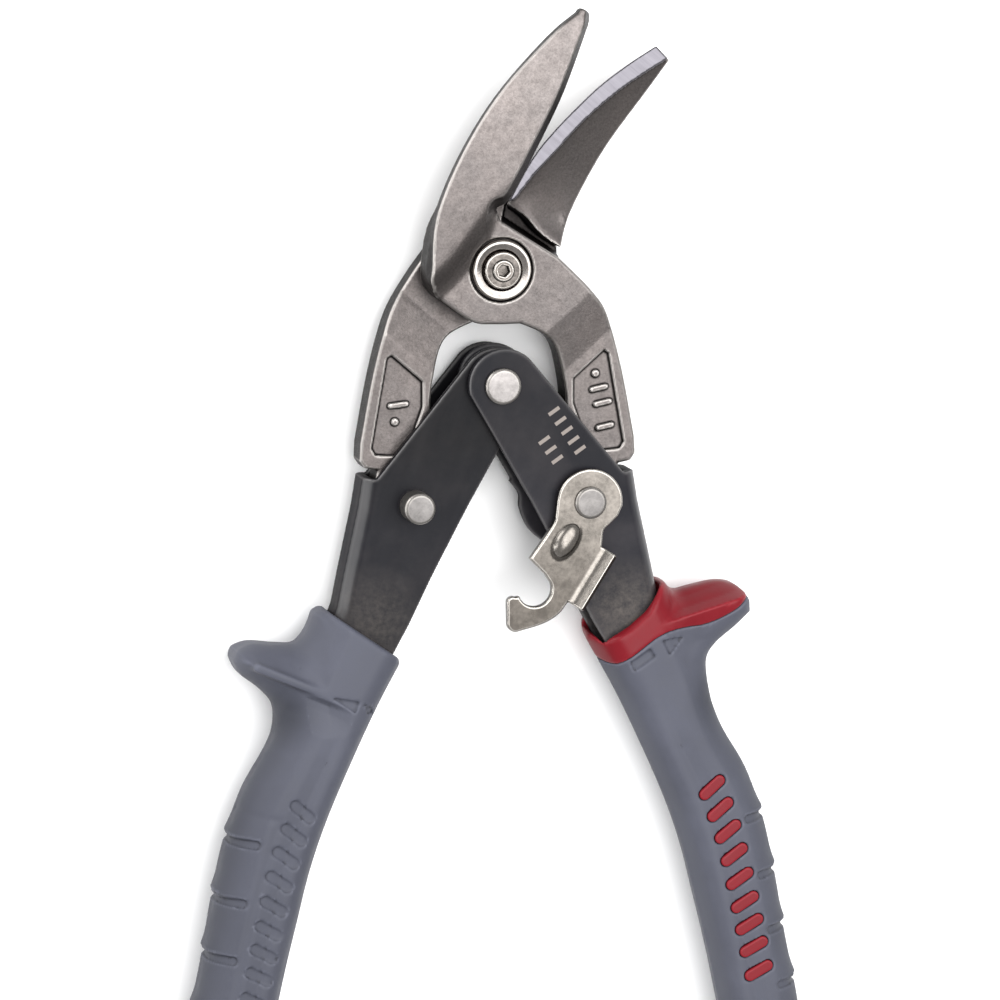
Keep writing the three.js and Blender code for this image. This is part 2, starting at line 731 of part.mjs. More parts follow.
// The room inside a right-hand grip for its handle sheet.
function sheetRoom(low, high) {
  const outline = wallOutline(-FIT, -FIT, SHEET_RUN + 1);
  return plate(outline.reverse(), low - FIT, high + FIT);
}

// Below this line the right grip is grey, and above it red.
const COLOUR_LINE = [
  [10, -71],
  [17.6, -77.4],
  ...smooth(
    [[21.2, -80], [23.6, -80.4], [27, -78.4], [32, -75], [37, -73.6], [42.6, -72.8], [48.6, -70.4]],
    8,
  ),
  [56, -66.4],
];
const collarZone = (gap) =>
  plate([...COLOUR_LINE.map(([x, y]) => [x, y - gap]), [60, -50], [10, -50]], -5, 30);

// Slanted bars in a row down a grip's front face, at a share of the way across it.
function inlayBars(grow, across) {
  return Array.from({ length: INLAY_COUNT }, (_, i) => {
    const place = mix(INLAY_FIRST, INLAY_LAST, i / (INLAY_COUNT - 1));
    const index = Math.floor(place);
    const along = (side) =>
      [0, 1].map((k) => mix(GRIP_SECTIONS[index][side][k], GRIP_SECTIONS[index + 1][side][k], place - index));
    const [inner, outer] = [along(0), along(1)];
    const centre = [mix(inner[0], outer[0], across), mix(inner[1], outer[1], across)];
    const heading = Math.atan2(outer[1] - inner[1], outer[0] - inner[0]);
    const bar = new THREE.BoxGeometry(INLAY_LENGTH + 2 * grow, INLAY_WIDTH + 2 * grow, 20);
    bar.rotateZ(heading + INLAY_LEAN).translate(centre[0], centre[1], 2 * SHEAR + 10 - INLAY_DEPTH - grow);
    return solidOf(bar);
  });
}

const RIGHT_ACROSS = 0.5;
const LEFT_ACROSS = 0.36;

function rightGripSkin() {
  return gripBody(GRIP_TOP).add(guard(RIGHT_GUARD)).subtract(sheetRoom(RIGHT_LOW, RIGHT_HIGH));
}

const rightGripCollar = () => rightGripSkin().intersect(collarZone(0));

function rightGrip() {
  const grey = rightGripSkin().subtract(collarZone(FIT));
  return inlayBars(FIT / 2, RIGHT_ACROSS).reduce((grip, bar) => grip.subtract(bar), grey);
}

function rightGripInlays() {
  const proudSkin = gripBody(GRIP_TOP, INLAY_PROUD);
  return inlayBars(0, RIGHT_ACROSS).map((bar) => bar.intersect(proudSkin));
}

function leftGrip() {
  const skin = gripBody(LEFT_GRIP_TOP)
    .add(guard(LEFT_GUARD))
    .subtract(sheetRoom(SHEAR - INNER_REACH, SHEAR + EAR_REACH).mirror([0, 0, 1]).translate([0, 0, 2 * SHEAR]));
  const bars = inlayBars(0, LEFT_ACROSS).map((bar) => bar.translate([0, 0, INLAY_DEPTH - 0.5]));
  return bars.reduce((grip, bar) => grip.subtract(bar), skin).mirror([1, 0, 0]);
}

// ---------------------------------------------------------------- assembly

const LOOKS = {
  forging: { color: 0x8f8a88, roughness: 0.45, metalness: 0.9 },
  blackSteel: { color: 0x262729, roughness: 0.5, metalness: 0.4 },
  plated: { color: 0xb9b2a8, roughness: 0.28, metalness: 1 },
  rivetSteel: { color: 0xb5afa9, roughness: 0.4, metalness: 1 },
  springSteel: { color: 0x4a4a4c, roughness: 0.4, metalness: 0.9 },
  greyGrip: { color: 0x6d6f7f, roughness: 0.7, metalness: 0 },
  redGrip: { color: 0xb02a3a, roughness: 0.55, metalness: 0 },
};
const snips = new THREE.Group();

function addPiece(name, solid, look) {
  const mesh = new THREE.Mesh(geometryOf(solid), new THREE.MeshStandardMaterial(LOOKS[look]));
  mesh.name = name;
  snips.add(mesh);
}

addPiece("front_jaw", frontJaw(), "forging");
addPiece("rear_jaw", rearJaw(), "forging");
addPiece("pivot_bolt", pivotBolt(), "plated");
addPiece("pivot_washer", pivotWasher(), "plated");
addPiece("pivot_nut", pivotNut(), "plated");
addPiece("pivot_nut_washer", pivotNutWasher(), "plated");
addPiece("left_handle", leftHandle(), "blackSteel");
addPiece("right_handle", rightHandle(), "blackSteel");
addPiece("handle_pivot_rivet", handlePivotRivet(), "rivetSteel");
addPiece("spring_sleeve", springSleeve(), "rivetSteel");
addPiece("return_spring", returnSpring(), "springSteel");
addPiece("latch_post", latchPost(), "rivetSteel");
addPiece("latch_rivet", latchRivet(), "rivetSteel");
addPiece("latch_spring_washer", latchSpringWasher(), "springSteel");
addPiece("latch", latch(), "plated");
addPiece("left_grip", leftGrip(), "greyGrip");
addPiece("right_grip", rightGrip(), "greyGrip");
addPiece("right_grip_collar", rightGripCollar(), "redGrip");
rightGripInlays().forEach((inlay, i) => addPiece(`right_grip_inlay_${i + 1}`, inlay, "redGrip"));

export default snips;
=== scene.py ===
# Looks of the aviation snips: fine meshes for every piece of the CAD frame, procedural
# materials, a pale floor, soft light and the camera.
# Shapes are signed distance fields in millimetres, negative inside, turned into meshes in metres.
import itertools
import json
import math

import bpy
import numpy as np
from mathutils import Matrix, Vector


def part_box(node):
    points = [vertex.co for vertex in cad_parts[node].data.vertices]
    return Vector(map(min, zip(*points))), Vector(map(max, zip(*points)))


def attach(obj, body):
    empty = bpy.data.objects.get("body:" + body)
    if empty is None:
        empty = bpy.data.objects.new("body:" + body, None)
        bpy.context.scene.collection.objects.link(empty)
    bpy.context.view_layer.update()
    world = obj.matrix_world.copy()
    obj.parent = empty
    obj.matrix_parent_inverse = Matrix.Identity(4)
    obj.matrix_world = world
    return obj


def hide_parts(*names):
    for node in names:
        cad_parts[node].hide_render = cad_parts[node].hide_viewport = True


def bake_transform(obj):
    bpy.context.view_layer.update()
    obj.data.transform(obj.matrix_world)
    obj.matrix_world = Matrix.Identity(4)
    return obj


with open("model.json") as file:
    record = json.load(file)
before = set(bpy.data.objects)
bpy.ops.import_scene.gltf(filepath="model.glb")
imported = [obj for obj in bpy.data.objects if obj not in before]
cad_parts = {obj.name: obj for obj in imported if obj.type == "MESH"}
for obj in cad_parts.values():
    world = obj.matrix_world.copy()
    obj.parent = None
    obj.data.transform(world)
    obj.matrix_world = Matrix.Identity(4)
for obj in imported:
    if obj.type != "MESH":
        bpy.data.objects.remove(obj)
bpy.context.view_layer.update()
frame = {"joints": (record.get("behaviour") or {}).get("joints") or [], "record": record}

# ---- places, from the frame

MM = 0.001
MILLI = 1000.0


def span(node):
    """A CAD node's lowest and highest corners, in millimetres."""
    low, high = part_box(node)
    return np.array(low) * MILLI, np.array(high) * MILLI


def middle(node):
    low, high = span(node)
    return (low + high) / 2


JOINT_AT = {j["name"]: np.array(j["pos_m"]) * MILLI for j in frame["joints"] if "pos_m" in j}
HANDLE_PIVOT = JOINT_AT["handle_hinge"]
TANG_PIN = JOINT_AT["front_jaw_hinge"]  # the left one mirrors it
SHEAR = middle("left_grip")[2]  # height of the plane where the jaws' bosses meet
GRIP_HALF = span("left_grip")[1][2] - SHEAR
RIGHT_REACH = [span("right_handle")[i][2] - SHEAR for i in (0, 1)]
LEFT_REACH = [span("left_handle")[i][2] - SHEAR for i in (0, 1)]
LATCH_LOW = span("latch")[0][2] - SHEAR
LATCH_THICK = 1.8
HEAD_TOP = span("pivot_bolt")[1][2]

# ---- curves


def smooth(points, per_span=6):
    """Points of a Catmull-Rom curve through the given ones."""
    p = np.array(points, float)
    p = np.vstack([p[0], p, p[-1]])
    out = []
    for a, b, c, d in zip(p, p[1:], p[2:], p[3:]):
        for t in np.arange(per_span) / per_span:
            out.append(b + 0.5 * t * (c - a + t * (2 * a - 5 * b + 4 * c - d + t * (3 * (b - c) + d - a))))
    return [tuple(q) for q in out] + [tuple(p[-1])]


def arc(centre, radius, start, end, count):
    angles = np.radians(np.linspace(start, end, count + 1))
    return [(centre[0] + radius * math.cos(a), centre[1] + radius * math.sin(a)) for a in angles]


def mirrored(points):
    return [(-x, y) for x, y in points][::-1]


def lerp(a, b, t):
    return tuple(np.array(a) + (np.array(b) - np.array(a)) * t)


def unit(value):
    """A value held between 0 and 1."""
    return np.clip(value, 0, 1)


# ---- distance fields


def grid(low, high, step):
    """The three coordinates of a regular grid, each along its own axis."""
    axes = [np.arange(a, b + step, step, dtype=np.float32) for a, b in zip(low, high)]
    return np.meshgrid(*axes, indexing="ij", sparse=True)


def space(low, high, step):
    """A grid whose heights are given from the shear plane, and its x, its y and those heights."""
    axes = grid((low[0], low[1], SHEAR + low[2]), (high[0], high[1], SHEAR + high[2]), step)
    return axes, axes[0], axes[1], axes[2] - SHEAR


def outline(points, x, y):
    """Distance to a closed outline in the plane of x and y."""
    p = np.asarray(points, np.float32)
    nearest = np.float32(1e9)
    inside = np.zeros(np.broadcast(x, y).shape, bool)
    for (ax, ay), (bx, by) in zip(p, np.roll(p, -1, 0)):
        ex, ey = bx - ax, by - ay
        length2 = ex * ex + ey * ey
        if length2 < 1e-10:
            continue
        t = unit(((x - ax) * ex + (y - ay) * ey) / length2)
        nearest = np.minimum(nearest, (x - ax - t * ex) ** 2 + (y - ay - t * ey) ** 2)
        if abs(ey) > 1e-9:
            inside ^= ((ay > y) != (by > y)) & (x < ax + (y - ay) * (ex / ey))
    return np.where(inside, -1, 1) * np.sqrt(nearest)


def meet(a, b, radius=0.0):
    """Intersection, with a rounded edge of the given radius."""
    corner = np.hypot(np.maximum(a + radius, 0), np.maximum(b + radius, 0))
    return np.minimum(np.maximum(a, b), -radius) + corner


def join(a, b, radius=0.0):
    """Union, with a fillet of the given radius."""
    return -meet(-a, -b, radius)


def cut(a, b, radius=0.0):
    """a without b, with a rounded edge."""
    return meet(a, -b, radius)


def slab(h, low, high):
    return np.maximum(low - h, h - high)


def disc(x, y, centre, radius):
    return np.hypot(x - centre[0], y - centre[1]) - radius


def bar(x, y, centre, length, width, turn):
    """A flat bar's distance in the plane, with round ends."""
    c, s = math.cos(turn), math.sin(turn)
    along = (x - centre[0]) * c + (y - centre[1]) * s
    across = (y - centre[1]) * c - (x - centre[0]) * s
    over = np.maximum(np.abs(along) - (length - width) / 2, 0)
    return np.hypot(over, across) - width / 2


# ---- fields into meshes


def sample(field, where):
    """The field's value and slope at points given in grid steps."""
    base = np.clip(np.floor(where).astype(int), 0, np.array(field.shape) - 2)
    t = where - base
    value = np.zeros(len(where))
    slope = np.zeros((len(where), 3))
    for corner in itertools.product((0, 1), repeat=3):
        at = field[tuple((base + corner).T)]
        weights = [t[:, k] if corner[k] else 1 - t[:, k] for k in range(3)]
        value += at * weights[0] * weights[1] * weights[2]
        for k in range(3):
            others = [weights[m] for m in range(3) if m != k]
            slope[:, k] += at * (1 if corner[k] else -1) * others[0] * others[1]
    return value, slope


def skin(field):
    """Vertices, in grid steps, and quads of the field's zero surface, by surface nets."""
    inside = field < 0
    cells = tuple(n - 1 for n in field.shape)
    corners = list(itertools.product((0, 1), repeat=3))

    def block(array, corner):
        return array[tuple(slice(c, c + n) for c, n in zip(corner, cells))]

    count = sum(block(inside, c).astype(np.int8) for c in corners)
    active = (count > 0) & (count < 8)
    number = np.full(cells, -1, np.int64)
    number[active] = np.arange(active.sum())
    place = np.argwhere(active)
    value = {c: field[tuple((place + c).T)] for c in corners}
    total = np.zeros((len(place), 3))
    hits = np.zeros(len(place))
    for axis in range(3):
        for c in (c for c in corners if c[axis] == 0):
            d = tuple(1 if k == axis else c[k] for k in range(3))
            a, b = value[c], value[d]
            crossed = (a < 0) != (b < 0)
            point = np.array(c, float) + np.zeros((len(place), 3))
            point[:, axis] += a / np.where(crossed, a - b, 1)
            total += point * crossed[:, None]
            hits += crossed
    vertices = place + total / hits[:, None]
    quads = []
    for axis in range(3):
        order = (axis, (axis + 1) % 3, (axis + 2) % 3)
        turned, named = inside.transpose(order), number.transpose(order)
        here, there = turned[:-1, 1:-1, 1:-1], turned[1:, 1:-1, 1:-1]
        i, j, k = np.nonzero(here != there)
        loop = np.stack([named[i, j + b, k + c] for b, c in ((0, 0), (1, 0), (1, 1), (0, 1))], 1)
        outward = here[i, j, k]
        quads.append(np.where(outward[:, None], loop, loop[:, ::-1]))
    return vertices, np.concatenate(quads)


def mesh_of(field, axes):
    """Vertices in millimetres and quads of a field, drawn onto its zero surface."""
    field = np.ascontiguousarray(field, dtype=np.float32)
    vertices, quads = skin(field)
    for _ in range(3):
        value, slope = sample(field, vertices)
        move = slope * (value / np.maximum((slope**2).sum(1), 1e-12))[:, None]
        vertices -= np.clip(move, -0.4, 0.4)
    low = np.array([float(a.ravel()[0]) for a in axes])
    step = float(axes[0].ravel()[1] - axes[0].ravel()[0])
    return low + vertices * step, quads


# ---- pieces

BODY_OF = {node: body for body, nodes in frame["record"]["behaviour"]["bodies"].items() for node in nodes}


def bend_paint(vertices, faces):
    """Paint for outer edges, brightened by rubbing and as painted highlight, and for inner corners, darkened
    as painted shade: how sharply each vertex bends either way.
    """
    quads = faces
    if isinstance(faces, list):
        quads = np.array([list(f) + [f[-1]] * (4 - len(f)) for f in faces])
    count = len(vertices)
    a, b, c, d = (vertices[quads[:, k]] for k in range(4))
    across = np.cross(c - a, d - b)
    sums = [sum(np.bincount(quads[:, k], across[:, m], count) for k in range(4)) for m in range(3)]
    normal = np.stack(sums, 1)
    normal /= np.maximum(np.linalg.norm(normal, axis=1), 1e-12)[:, None]
    near = np.concatenate([quads[:, [k, (k + 1) % 4]] for k in range(4)])
    near = near[near[:, 0] != near[:, 1]]
    i, j = np.concatenate([near, near[:, ::-1]]).T
    step = vertices[i] - vertices[j]
    bend = 2 * (normal[i] * step).sum(1) / np.maximum((step**2).sum(1), 1e-6)
    neighbours = np.maximum(np.bincount(i, minlength=count), 1)
    bend = np.bincount(i, bend, count) / neighbours
    for _ in range(2):
        bend = (bend + np.bincount(i, bend[j], count) / neighbours) / 2
    least = 0.35  # bends gentler than this, per millimetre, get no paint
    return {"edge": unit((bend - least) / 0.65), "hollow": unit((-bend - least) / 0.7)}


def add_piece(name, node, vertices, faces, finish, paint=None, rides=True):
    """Adds a mesh given in millimetres, in place of a CAD node. finish is the record's slot, which is not
    used, and a material. paint gives the values that the material reads, from x, y and the height above
    SHEAR.
    Two keys aren't read: "calm" takes away the brightening of the edges (rubbing and painted highlight), and
    the key for deep gaps adds painted shade to the hollows."""
    slot, material = finish
    body = BODY_OF[node]
    mesh = bpy.data.meshes.new(name)
    mesh.from_pydata((vertices * MM).tolist(), [], faces if isinstance(faces, list) else faces.tolist())
    mesh.materials.append(material)
    mesh.shade_smooth()
    x, y, z = vertices.T
    painted = bend_paint(vertices, faces) | (paint(x, y, z - SHEAR) if paint else {})
    painted["edge"] = painted["edge"] * (1 - painted.pop("calm", 0))
    # Painted shade: deep gaps are darkened like the hollows.
    painted["hollow"] = np.maximum(painted["hollow"], painted.pop("deep_shade", 0))
    for key, values in painted.items():
        mesh.attributes.new(key, "FLOAT", "POINT").data.foreach_set("value", values.astype(np.float32))
    mesh.update()
    piece = bpy.data.objects.new(name, mesh)
    bpy.context.scene.collection.objects.link(piece)
    if rides:
        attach(piece, body)
    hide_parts(node)
    return piece


def add_field(name, node, field, axes, finish, paint=None, mirror=False):
    """Adds a piece from a field, in place of a CAD node."""
    vertices, faces = mesh_of(field, axes)
    if mirror:
        vertices = vertices * (-1, 1, 1)
        faces = faces[:, ::-1]
    add_piece(name, node, vertices, faces, finish, paint)


def rounded(profile, radius, steps=4):
    """A profile of [radius, height] pairs with its inner corners rounded."""
    p = [np.array(q, float) for q in profile]
    out = [p[0]]
    for a, b, c in zip(p, p[1:], p[2:]):
        u, v = a - b, c - b
        size = min(radius, np.linalg.norm(u) * 0.45, np.linalg.norm(v) * 0.45)
        u, v = u / np.linalg.norm(u), v / np.linalg.norm(v)
        start, end = b + u * size, b + v * size
        for t in np.linspace(0, 1, steps + 1):
            out.append((1 - t) ** 2 * start + 2 * t * (1 - t) * b + t * t * end)
    return out + [p[-1]]


def add_turned(name, node, profile, finish, radius=0.25, segments=96):
    """Adds a piece turned about a vertical axis, in place of a CAD node."""
    centre = middle(node)
    ring = rounded(profile, radius)
    closed = abs(ring[0][0]) > 1e-6
    if closed:
        ring = ring[:-1]
    angles = np.linspace(0, 2 * math.pi, segments, endpoint=False)
    vertices, faces, rows = [], [], []
    for r, h in ring:
        count = 1 if r < 1e-6 else segments
        rows.append([len(vertices) + i % count for i in range(segments)])
        spots = [(centre[0] + r * math.cos(a), centre[1] + r * math.sin(a), h) for a in angles]
        vertices += spots if count > 1 else [(centre[0], centre[1], h)]
    for low, high in list(zip(rows, rows[1:])) + ([(rows[-1], rows[0])] if closed else []):
        for i in range(segments):
            k = (i + 1) % segments
            loop = [low[i], low[k], high[k], high[i]]
            face = [v for n, v in enumerate(loop) if v not in loop[:n]]
            if len(face) > 2:
                faces.append(face)
    add_piece(name, node, np.array(vertices), faces, finish)


def add_ring(name, node, inner, outer, finish, radius=0.25):
    """Adds a plain ring as high as its CAD node."""
    low, high = (corner[2] for corner in span(node))
    profile = [(inner, low), (outer, low), (outer, high), (inner, high), (inner, low)]
    add_turned(name, node, profile, finish, radius)


# ---- materials


STUDIO_TONE = 0.62  # keeps every colour but the floor's level under the bright studio


class Look:
    """A material's nodes, with the few shorthands that the materials below share."""

    def __init__(self, name, toned=True):
        self.toned = toned
        self.material = bpy.data.materials.new(name)
        self.material.use_nodes = True
        self.tree = self.material.node_tree
        self.shader = self.tree.nodes["Principled BSDF"]
        self.place = self.node("TexCoord").outputs["Object"]

    def node(self, kind, **values):
        made = self.tree.nodes.new("ShaderNode" + kind)
        for key, value in values.items():
            setattr(made, key, value)
        return made

    def feed(self, socket, value):
        """Links another node's output to a socket, or sets the socket's value."""
        if hasattr(value, "node"):
            self.tree.links.new(value, socket)
        else:
            socket.default_value = (*value, 1) if isinstance(value, tuple) else value

    def maths(self, operation, *values):
        made = self.node("Math", operation=operation)
        for socket, value in zip(made.inputs, values):
            self.feed(socket, value)
        return made.outputs[0]

    def split(self, vector):
        made = self.node("SeparateXYZ")
        self.feed(made.inputs[0], vector)
        return made.outputs

    def placed(self, size, turn, at=(0, 0, 0)):
        """Coordinates of a space of another size, turned across the tool's plane."""
        made = self.node("Mapping", vector_type="TEXTURE")
        for name, value in (("Location", at), ("Rotation", (0, 0, turn)), ("Scale", size)):
            made.inputs[name].default_value = value
        self.feed(made.inputs["Vector"], self.place)
        return made.outputs["Vector"]

    def noise(self, per_metre, detail=4, roughness=0.55, vector=None):
        made = self.node("TexNoise")
        for name, value in (("Scale", per_metre), ("Detail", detail), ("Roughness", roughness)):
            made.inputs[name].default_value = value
        self.feed(made.inputs["Vector"], vector or self.place)
        return made.outputs["Fac"]

    def ramp(self, source, *stops):
        made = self.node("ValToRGB")
        elements = made.color_ramp.elements
        while len(elements) < len(stops):
            elements.new(0.5)
        for element, (position, colour) in zip(elements, stops):
            element.position = position
            element.color = (*colour, 1) if isinstance(colour, tuple) else (colour, colour, colour, 1)
        self.feed(made.inputs["Fac"], source)
        return made.outputs["Color"]

    def mixed(self, factor, a, b, blend="MIX"):
        made = self.node("Mix", data_type="RGBA", blend_type=blend)
        for socket, value in ((made.inputs["Factor"], factor), (made.inputs[6], a), (made.inputs[7], b)):
            self.feed(socket, value)
        return made.outputs[2]

    def times(self, colour, amount, factor=1.0):
        """A colour multiplied by another one or by a grey level, as far as the factor says."""
        grey = isinstance(amount, float)
        return self.mixed(factor, colour, (amount,) * 3 if grey else amount, "MULTIPLY")

    def painted(self, name):
        """A value painted on the mesh."""
        return self.node("Attribute", attribute_name=name).outputs["Fac"]

    def upward(self, *stops):
        """A ramp over how level a face lies: 0 on upright walls, 1 on faces that look up or down."""
        normal = self.node("NewGeometry").outputs["Normal"]
        return self.ramp(self.maths("ABSOLUTE", self.split(normal)["Z"]), *stops)

    def wall(self, steep, level):
        """1 on upright walls and 0 on faces that look up or down."""
        return self.upward((steep, 1.0), (level, 0.0))

    def portion(self, name, most):
        """The paint "edge", bright on outer edges by rubbing and as painted highlight, or "hollow", painted
        shade in inner corners, up to a most.
        """
        return self.ramp(self.painted(name), (0.0, 0.0), (1.0, most))

    def marked(self, bars, length=2.6, width=0.75):
        """1 inside flat bars burnt on the right handle's upper face."""
        total = None
        for (x, y), turn in bars:
            at = (x * MM, y * MM, (SHEAR + RIGHT_REACH[1]) * MM)
            size = self.node("VectorMath", operation="ABSOLUTE")
            self.feed(size.inputs[0], self.placed((length * MM / 2, width * MM / 2, MM), turn, at))
            along, across, deep = self.split(size.outputs["Vector"])
            widest = self.maths("MAXIMUM", self.maths("MAXIMUM", along, across), deep)
            inside = self.maths("LESS_THAN", widest, 1.0)
            total = inside if total is None else self.maths("MAXIMUM", total, inside)
        return total

    def bump(self, height, depth_mm, strength, below=None):
        made = self.node("Bump")
        made.inputs["Strength"].default_value = strength
        made.inputs["Distance"].default_value = depth_mm * MM
        self.feed(made.inputs["Height"], height)
        if below is not None:
            self.feed(made.inputs["Normal"], below)
        return made.outputs["Normal"]

    def finish(self, colour, roughness, metallic=0.0, normal=None, specular=None):
        given = {
            "Base Color": self.times(colour, STUDIO_TONE) if self.toned else colour,
            "Roughness": roughness, "Metallic": metallic, "Normal": normal, "Specular IOR Level": specular,
        }
        for name, value in given.items():
            if value is not None:
                self.feed(self.shader.inputs[name], value)
        return self.material


def forged_steel():
    """Tumbled forging: grainy, with painted shade on walls and in hollows, and edges made bright by rubbing
    and as painted highlight. The paint "ground" marks cutting lands and "shade" is painted shade on parts of
    the surface."""
    look = Look("forged_steel")
    blotch = look.noise(90, 4, 0.6)
    rubbed = look.noise(500, 6, 0.75)
    grain = look.noise(2100, 4, 0.8)
    base = look.ramp(blotch, (0.35, (0.235, 0.212, 0.205)), (0.65, (0.262, 0.232, 0.222)))
    base = look.times(base, look.ramp(rubbed, (0.35, 0.86), (0.65, 1.0)))
    base = look.times(base, look.ramp(grain, (0.36, 0.72), (0.6, 1.0)))
    # Painted shade on upright walls, where the paint "shade" says and in hollows; the edges are brightened by
    # rubbing and as painted highlight.
    base = look.times(base, 0.15, look.wall(0.25, 0.85))
    base = look.times(base, 0.16, look.painted("shade"))
    base = look.mixed(look.portion("hollow", 0.9), base, (0.012, 0.011, 0.011))
    base = look.mixed(look.portion("edge", 0.9), base, (0.6, 0.565, 0.54))
    lines = look.noise(1300, 3, 0.6, look.placed((14, 1, 1), math.radians(140)))
    bright = look.ramp(lines, (0.35, (0.145, 0.139, 0.155)), (0.7, (0.2, 0.192, 0.213)))
    ground = look.ramp(look.painted("ground"), (0.47, 0.0), (0.53, 1.0))
    colour = look.mixed(ground, base, bright)
    ground_rough = look.ramp(lines, (0.3, 0.26), (0.7, 0.34))
    rough = look.mixed(ground, look.ramp(rubbed, (0.3, 0.46), (0.72, 0.3)), ground_rough)
    relief = look.mixed(ground, look.mixed(0.5, grain, rubbed), look.mixed(0.8, lines, (0.5, 0.5, 0.5)))
    metallic = look.upward((0.15, 0.1), (0.62, 1.0))  # upright walls keep their dull scale
    return look.finish(colour, rough, metallic, look.bump(relief, 0.12, 0.8), specular=0.03)


def black_steel():
    """Black oxide on sheet steel, scuffed where the paint "scuff" says, with faint rolling lines. The paint
    "pale" makes it lighter: all over the right handle, more so further down, and on the left handle only
    further down."""
    look = Look("black_oxide")
    patches = look.noise(70, 5, 0.6)
    grain = look.noise(2200, 3, 0.6)
    rolled = look.noise(500, 4, 0.6, look.placed((12, 1, 1), math.radians(70)))
    base = look.ramp(patches, (0.42, (0.011, 0.011, 0.013)), (0.78, (0.024, 0.022, 0.023)))
    base = look.times(base, (2.6, 2.6, 2.75), look.painted("pale"))
    scuffs = look.times(look.ramp(look.noise(700, 7, 0.7), (0.3, 0.1), (0.7, 0.9)), look.painted("scuff"))
    base = look.mixed(scuffs, base, (0.16, 0.14, 0.125))
    # Edges are lightened by rubbing and as painted highlight.
    base = look.mixed(look.portion("edge", 0.35), base, (0.2, 0.19, 0.19))
    base = look.mixed(look.marked(ETCHED), base, (0.33, 0.29, 0.265))
    rough = look.ramp(rolled, (0.3, 0.3), (0.7, 0.42))
    normal = look.bump(grain, 0.02, 0.35, look.bump(rolled, 0.02, 0.2))
    # The bends are burnished by the press; upright walls stay dull.
    shine = look.upward((0.2, 0.01), (0.5, 0.7), (0.86, 0.5), (0.97, 0.055))
    return look.finish(base, rough, normal=normal, specular=shine)


def plated_steel(name, tint, rough_low, rough_high, mottle, hollow_shade=0.4):
    """Plating with clouds, specks and a faint orange peel, with painted shade in its hollows and where the
    paint "shade" says, and edges made bright by rubbing and as painted highlight.
    """
    look = Look(name)
    cloud = look.noise(200, 6, 0.72)
    speck = look.noise(1200, 4, 0.75)
    dark = tuple((1 - mottle) * c for c in tint)
    colour = look.ramp(cloud, (0.36, dark), (0.6, tint))
    colour = look.times(colour, look.ramp(speck, (0.34, 1 - mottle), (0.6, 1.0)), 0.9)
    # Painted shade where the paint "shade" says and in the hollows; edges brightened by rubbing and as
    # painted highlight.
    colour = look.times(colour, (0.2, 0.19, 0.18), look.painted("shade"))
    colour = look.mixed(look.portion("hollow", hollow_shade), colour, (0.03, 0.028, 0.026))
    colour = look.mixed(look.portion("edge", 0.7), colour, (0.72, 0.68, 0.63))
    rough = look.ramp(cloud, (0.3, rough_high), (0.7, rough_low))
    return look.finish(colour, rough, 1.0, look.bump(speck, 0.04, 0.4, look.bump(cloud, 0.09, 0.2)))


def moulded(name, colour, rough, speck_depth, sheen):
    """A moulded grip: spark-eroded grain, slight clouding and finger marks."""
    look = Look(name)
    cloud = look.noise(60, 4)
    marks = look.noise(240, 5, 0.65)
    grain = look.noise(3200, 2, 0.5)
    low, high = tuple(0.9 * c for c in colour), tuple(1.08 * c for c in colour)
    tone = look.ramp(cloud, (0.3, low), (0.7, high))
    tone = look.times(tone, look.ramp(marks, (0.4, 0.8), (0.7, 1.0)), 0.25)
    # Painted shade on upright walls, in hollows and where the paint "shade" says; edges lightened by rubbing
    # and as painted highlight.
    tone = look.times(tone, 0.86, look.wall(0.2, 0.9))
    tone = look.times(tone, 0.45, look.portion("hollow", 0.8))
    tone = look.times(tone, (0.4, 0.41, 0.43), look.painted("shade"))
    tone = look.mixed(look.portion("edge", 0.6), tone, tuple(1.35 * c + 0.01 for c in colour))
    roughness = look.ramp(marks, (0.35, rough - 0.08), (0.7, rough + 0.06))
    normal = look.bump(grain, speck_depth, 0.4)
    return look.finish(tone, roughness, normal=normal, specular=sheen * STUDIO_TONE)


# Generic marks burnt into the right ear: centre and heading of each short bar, in two rows.
ETCHED = [
    ((x + 1.35 * i, y - 2.0 * i), math.radians(34))
    for x, y, count in ((10.6, -28.6, 5), (8.6, -34.4, 3)) for i in range(count)
]

FORGED = "forging", forged_steel()
BLACK = "black_steel", black_steel()
NICKEL = "plated_steel", plated_steel("nickel_plate", (0.37, 0.34, 0.32), 0.14, 0.24, 0.3, hollow_shade=0.1)
BOLT = "plated_steel", plated_steel("bolt_steel", (0.17, 0.153, 0.14), 0.16, 0.3, 0.6)
LATCH_PLATE = "plated_steel", plated_steel("latch_plate", (0.35, 0.322, 0.292), 0.2, 0.32, 0.3, hollow_shade=0.12)
RIVET = "rivet_steel", plated_steel("rivet_steel", (0.33, 0.31, 0.302), 0.34, 0.46, 0.2)
DULL_RIVET = "rivet_steel", plated_steel("dull_rivet_steel", (0.23, 0.218, 0.212), 0.34, 0.46, 0.2)
WIRE = "spring_steel", plated_steel("spring_wire", (0.2, 0.2, 0.2), 0.3, 0.42, 0.2)
GREY = "grey_grip", moulded("grey_grip", (0.102, 0.107, 0.139), 0.58, 0.03, 0.35)
RED = "red_grip", moulded("red_grip", (0.24, 0.009, 0.017), 0.42, 0.02, 0.26)

# ---- jaws

TANG_HEADING = math.radians(-49)  # direction of the right tang from the jaw pivot
BOSS_TOP, BOSS_BOTTOM = 6.2, -5.7
TANG_HIGH, TANG_LOW = 4.6, -2.3  # the front jaw's tang; the rear jaw's is its mirror
BLADE_PLANE = 4.0  # the plane the blades shear on, above SHEAR
RAMP_START, RAMP_END = 15.7, 24.5
JAW_STEP = 0.27
PIN_HOLE = 2.85
BOLT_HOLE = 3.1
LEFT_PIN = (-TANG_PIN[0], TANG_PIN[1])

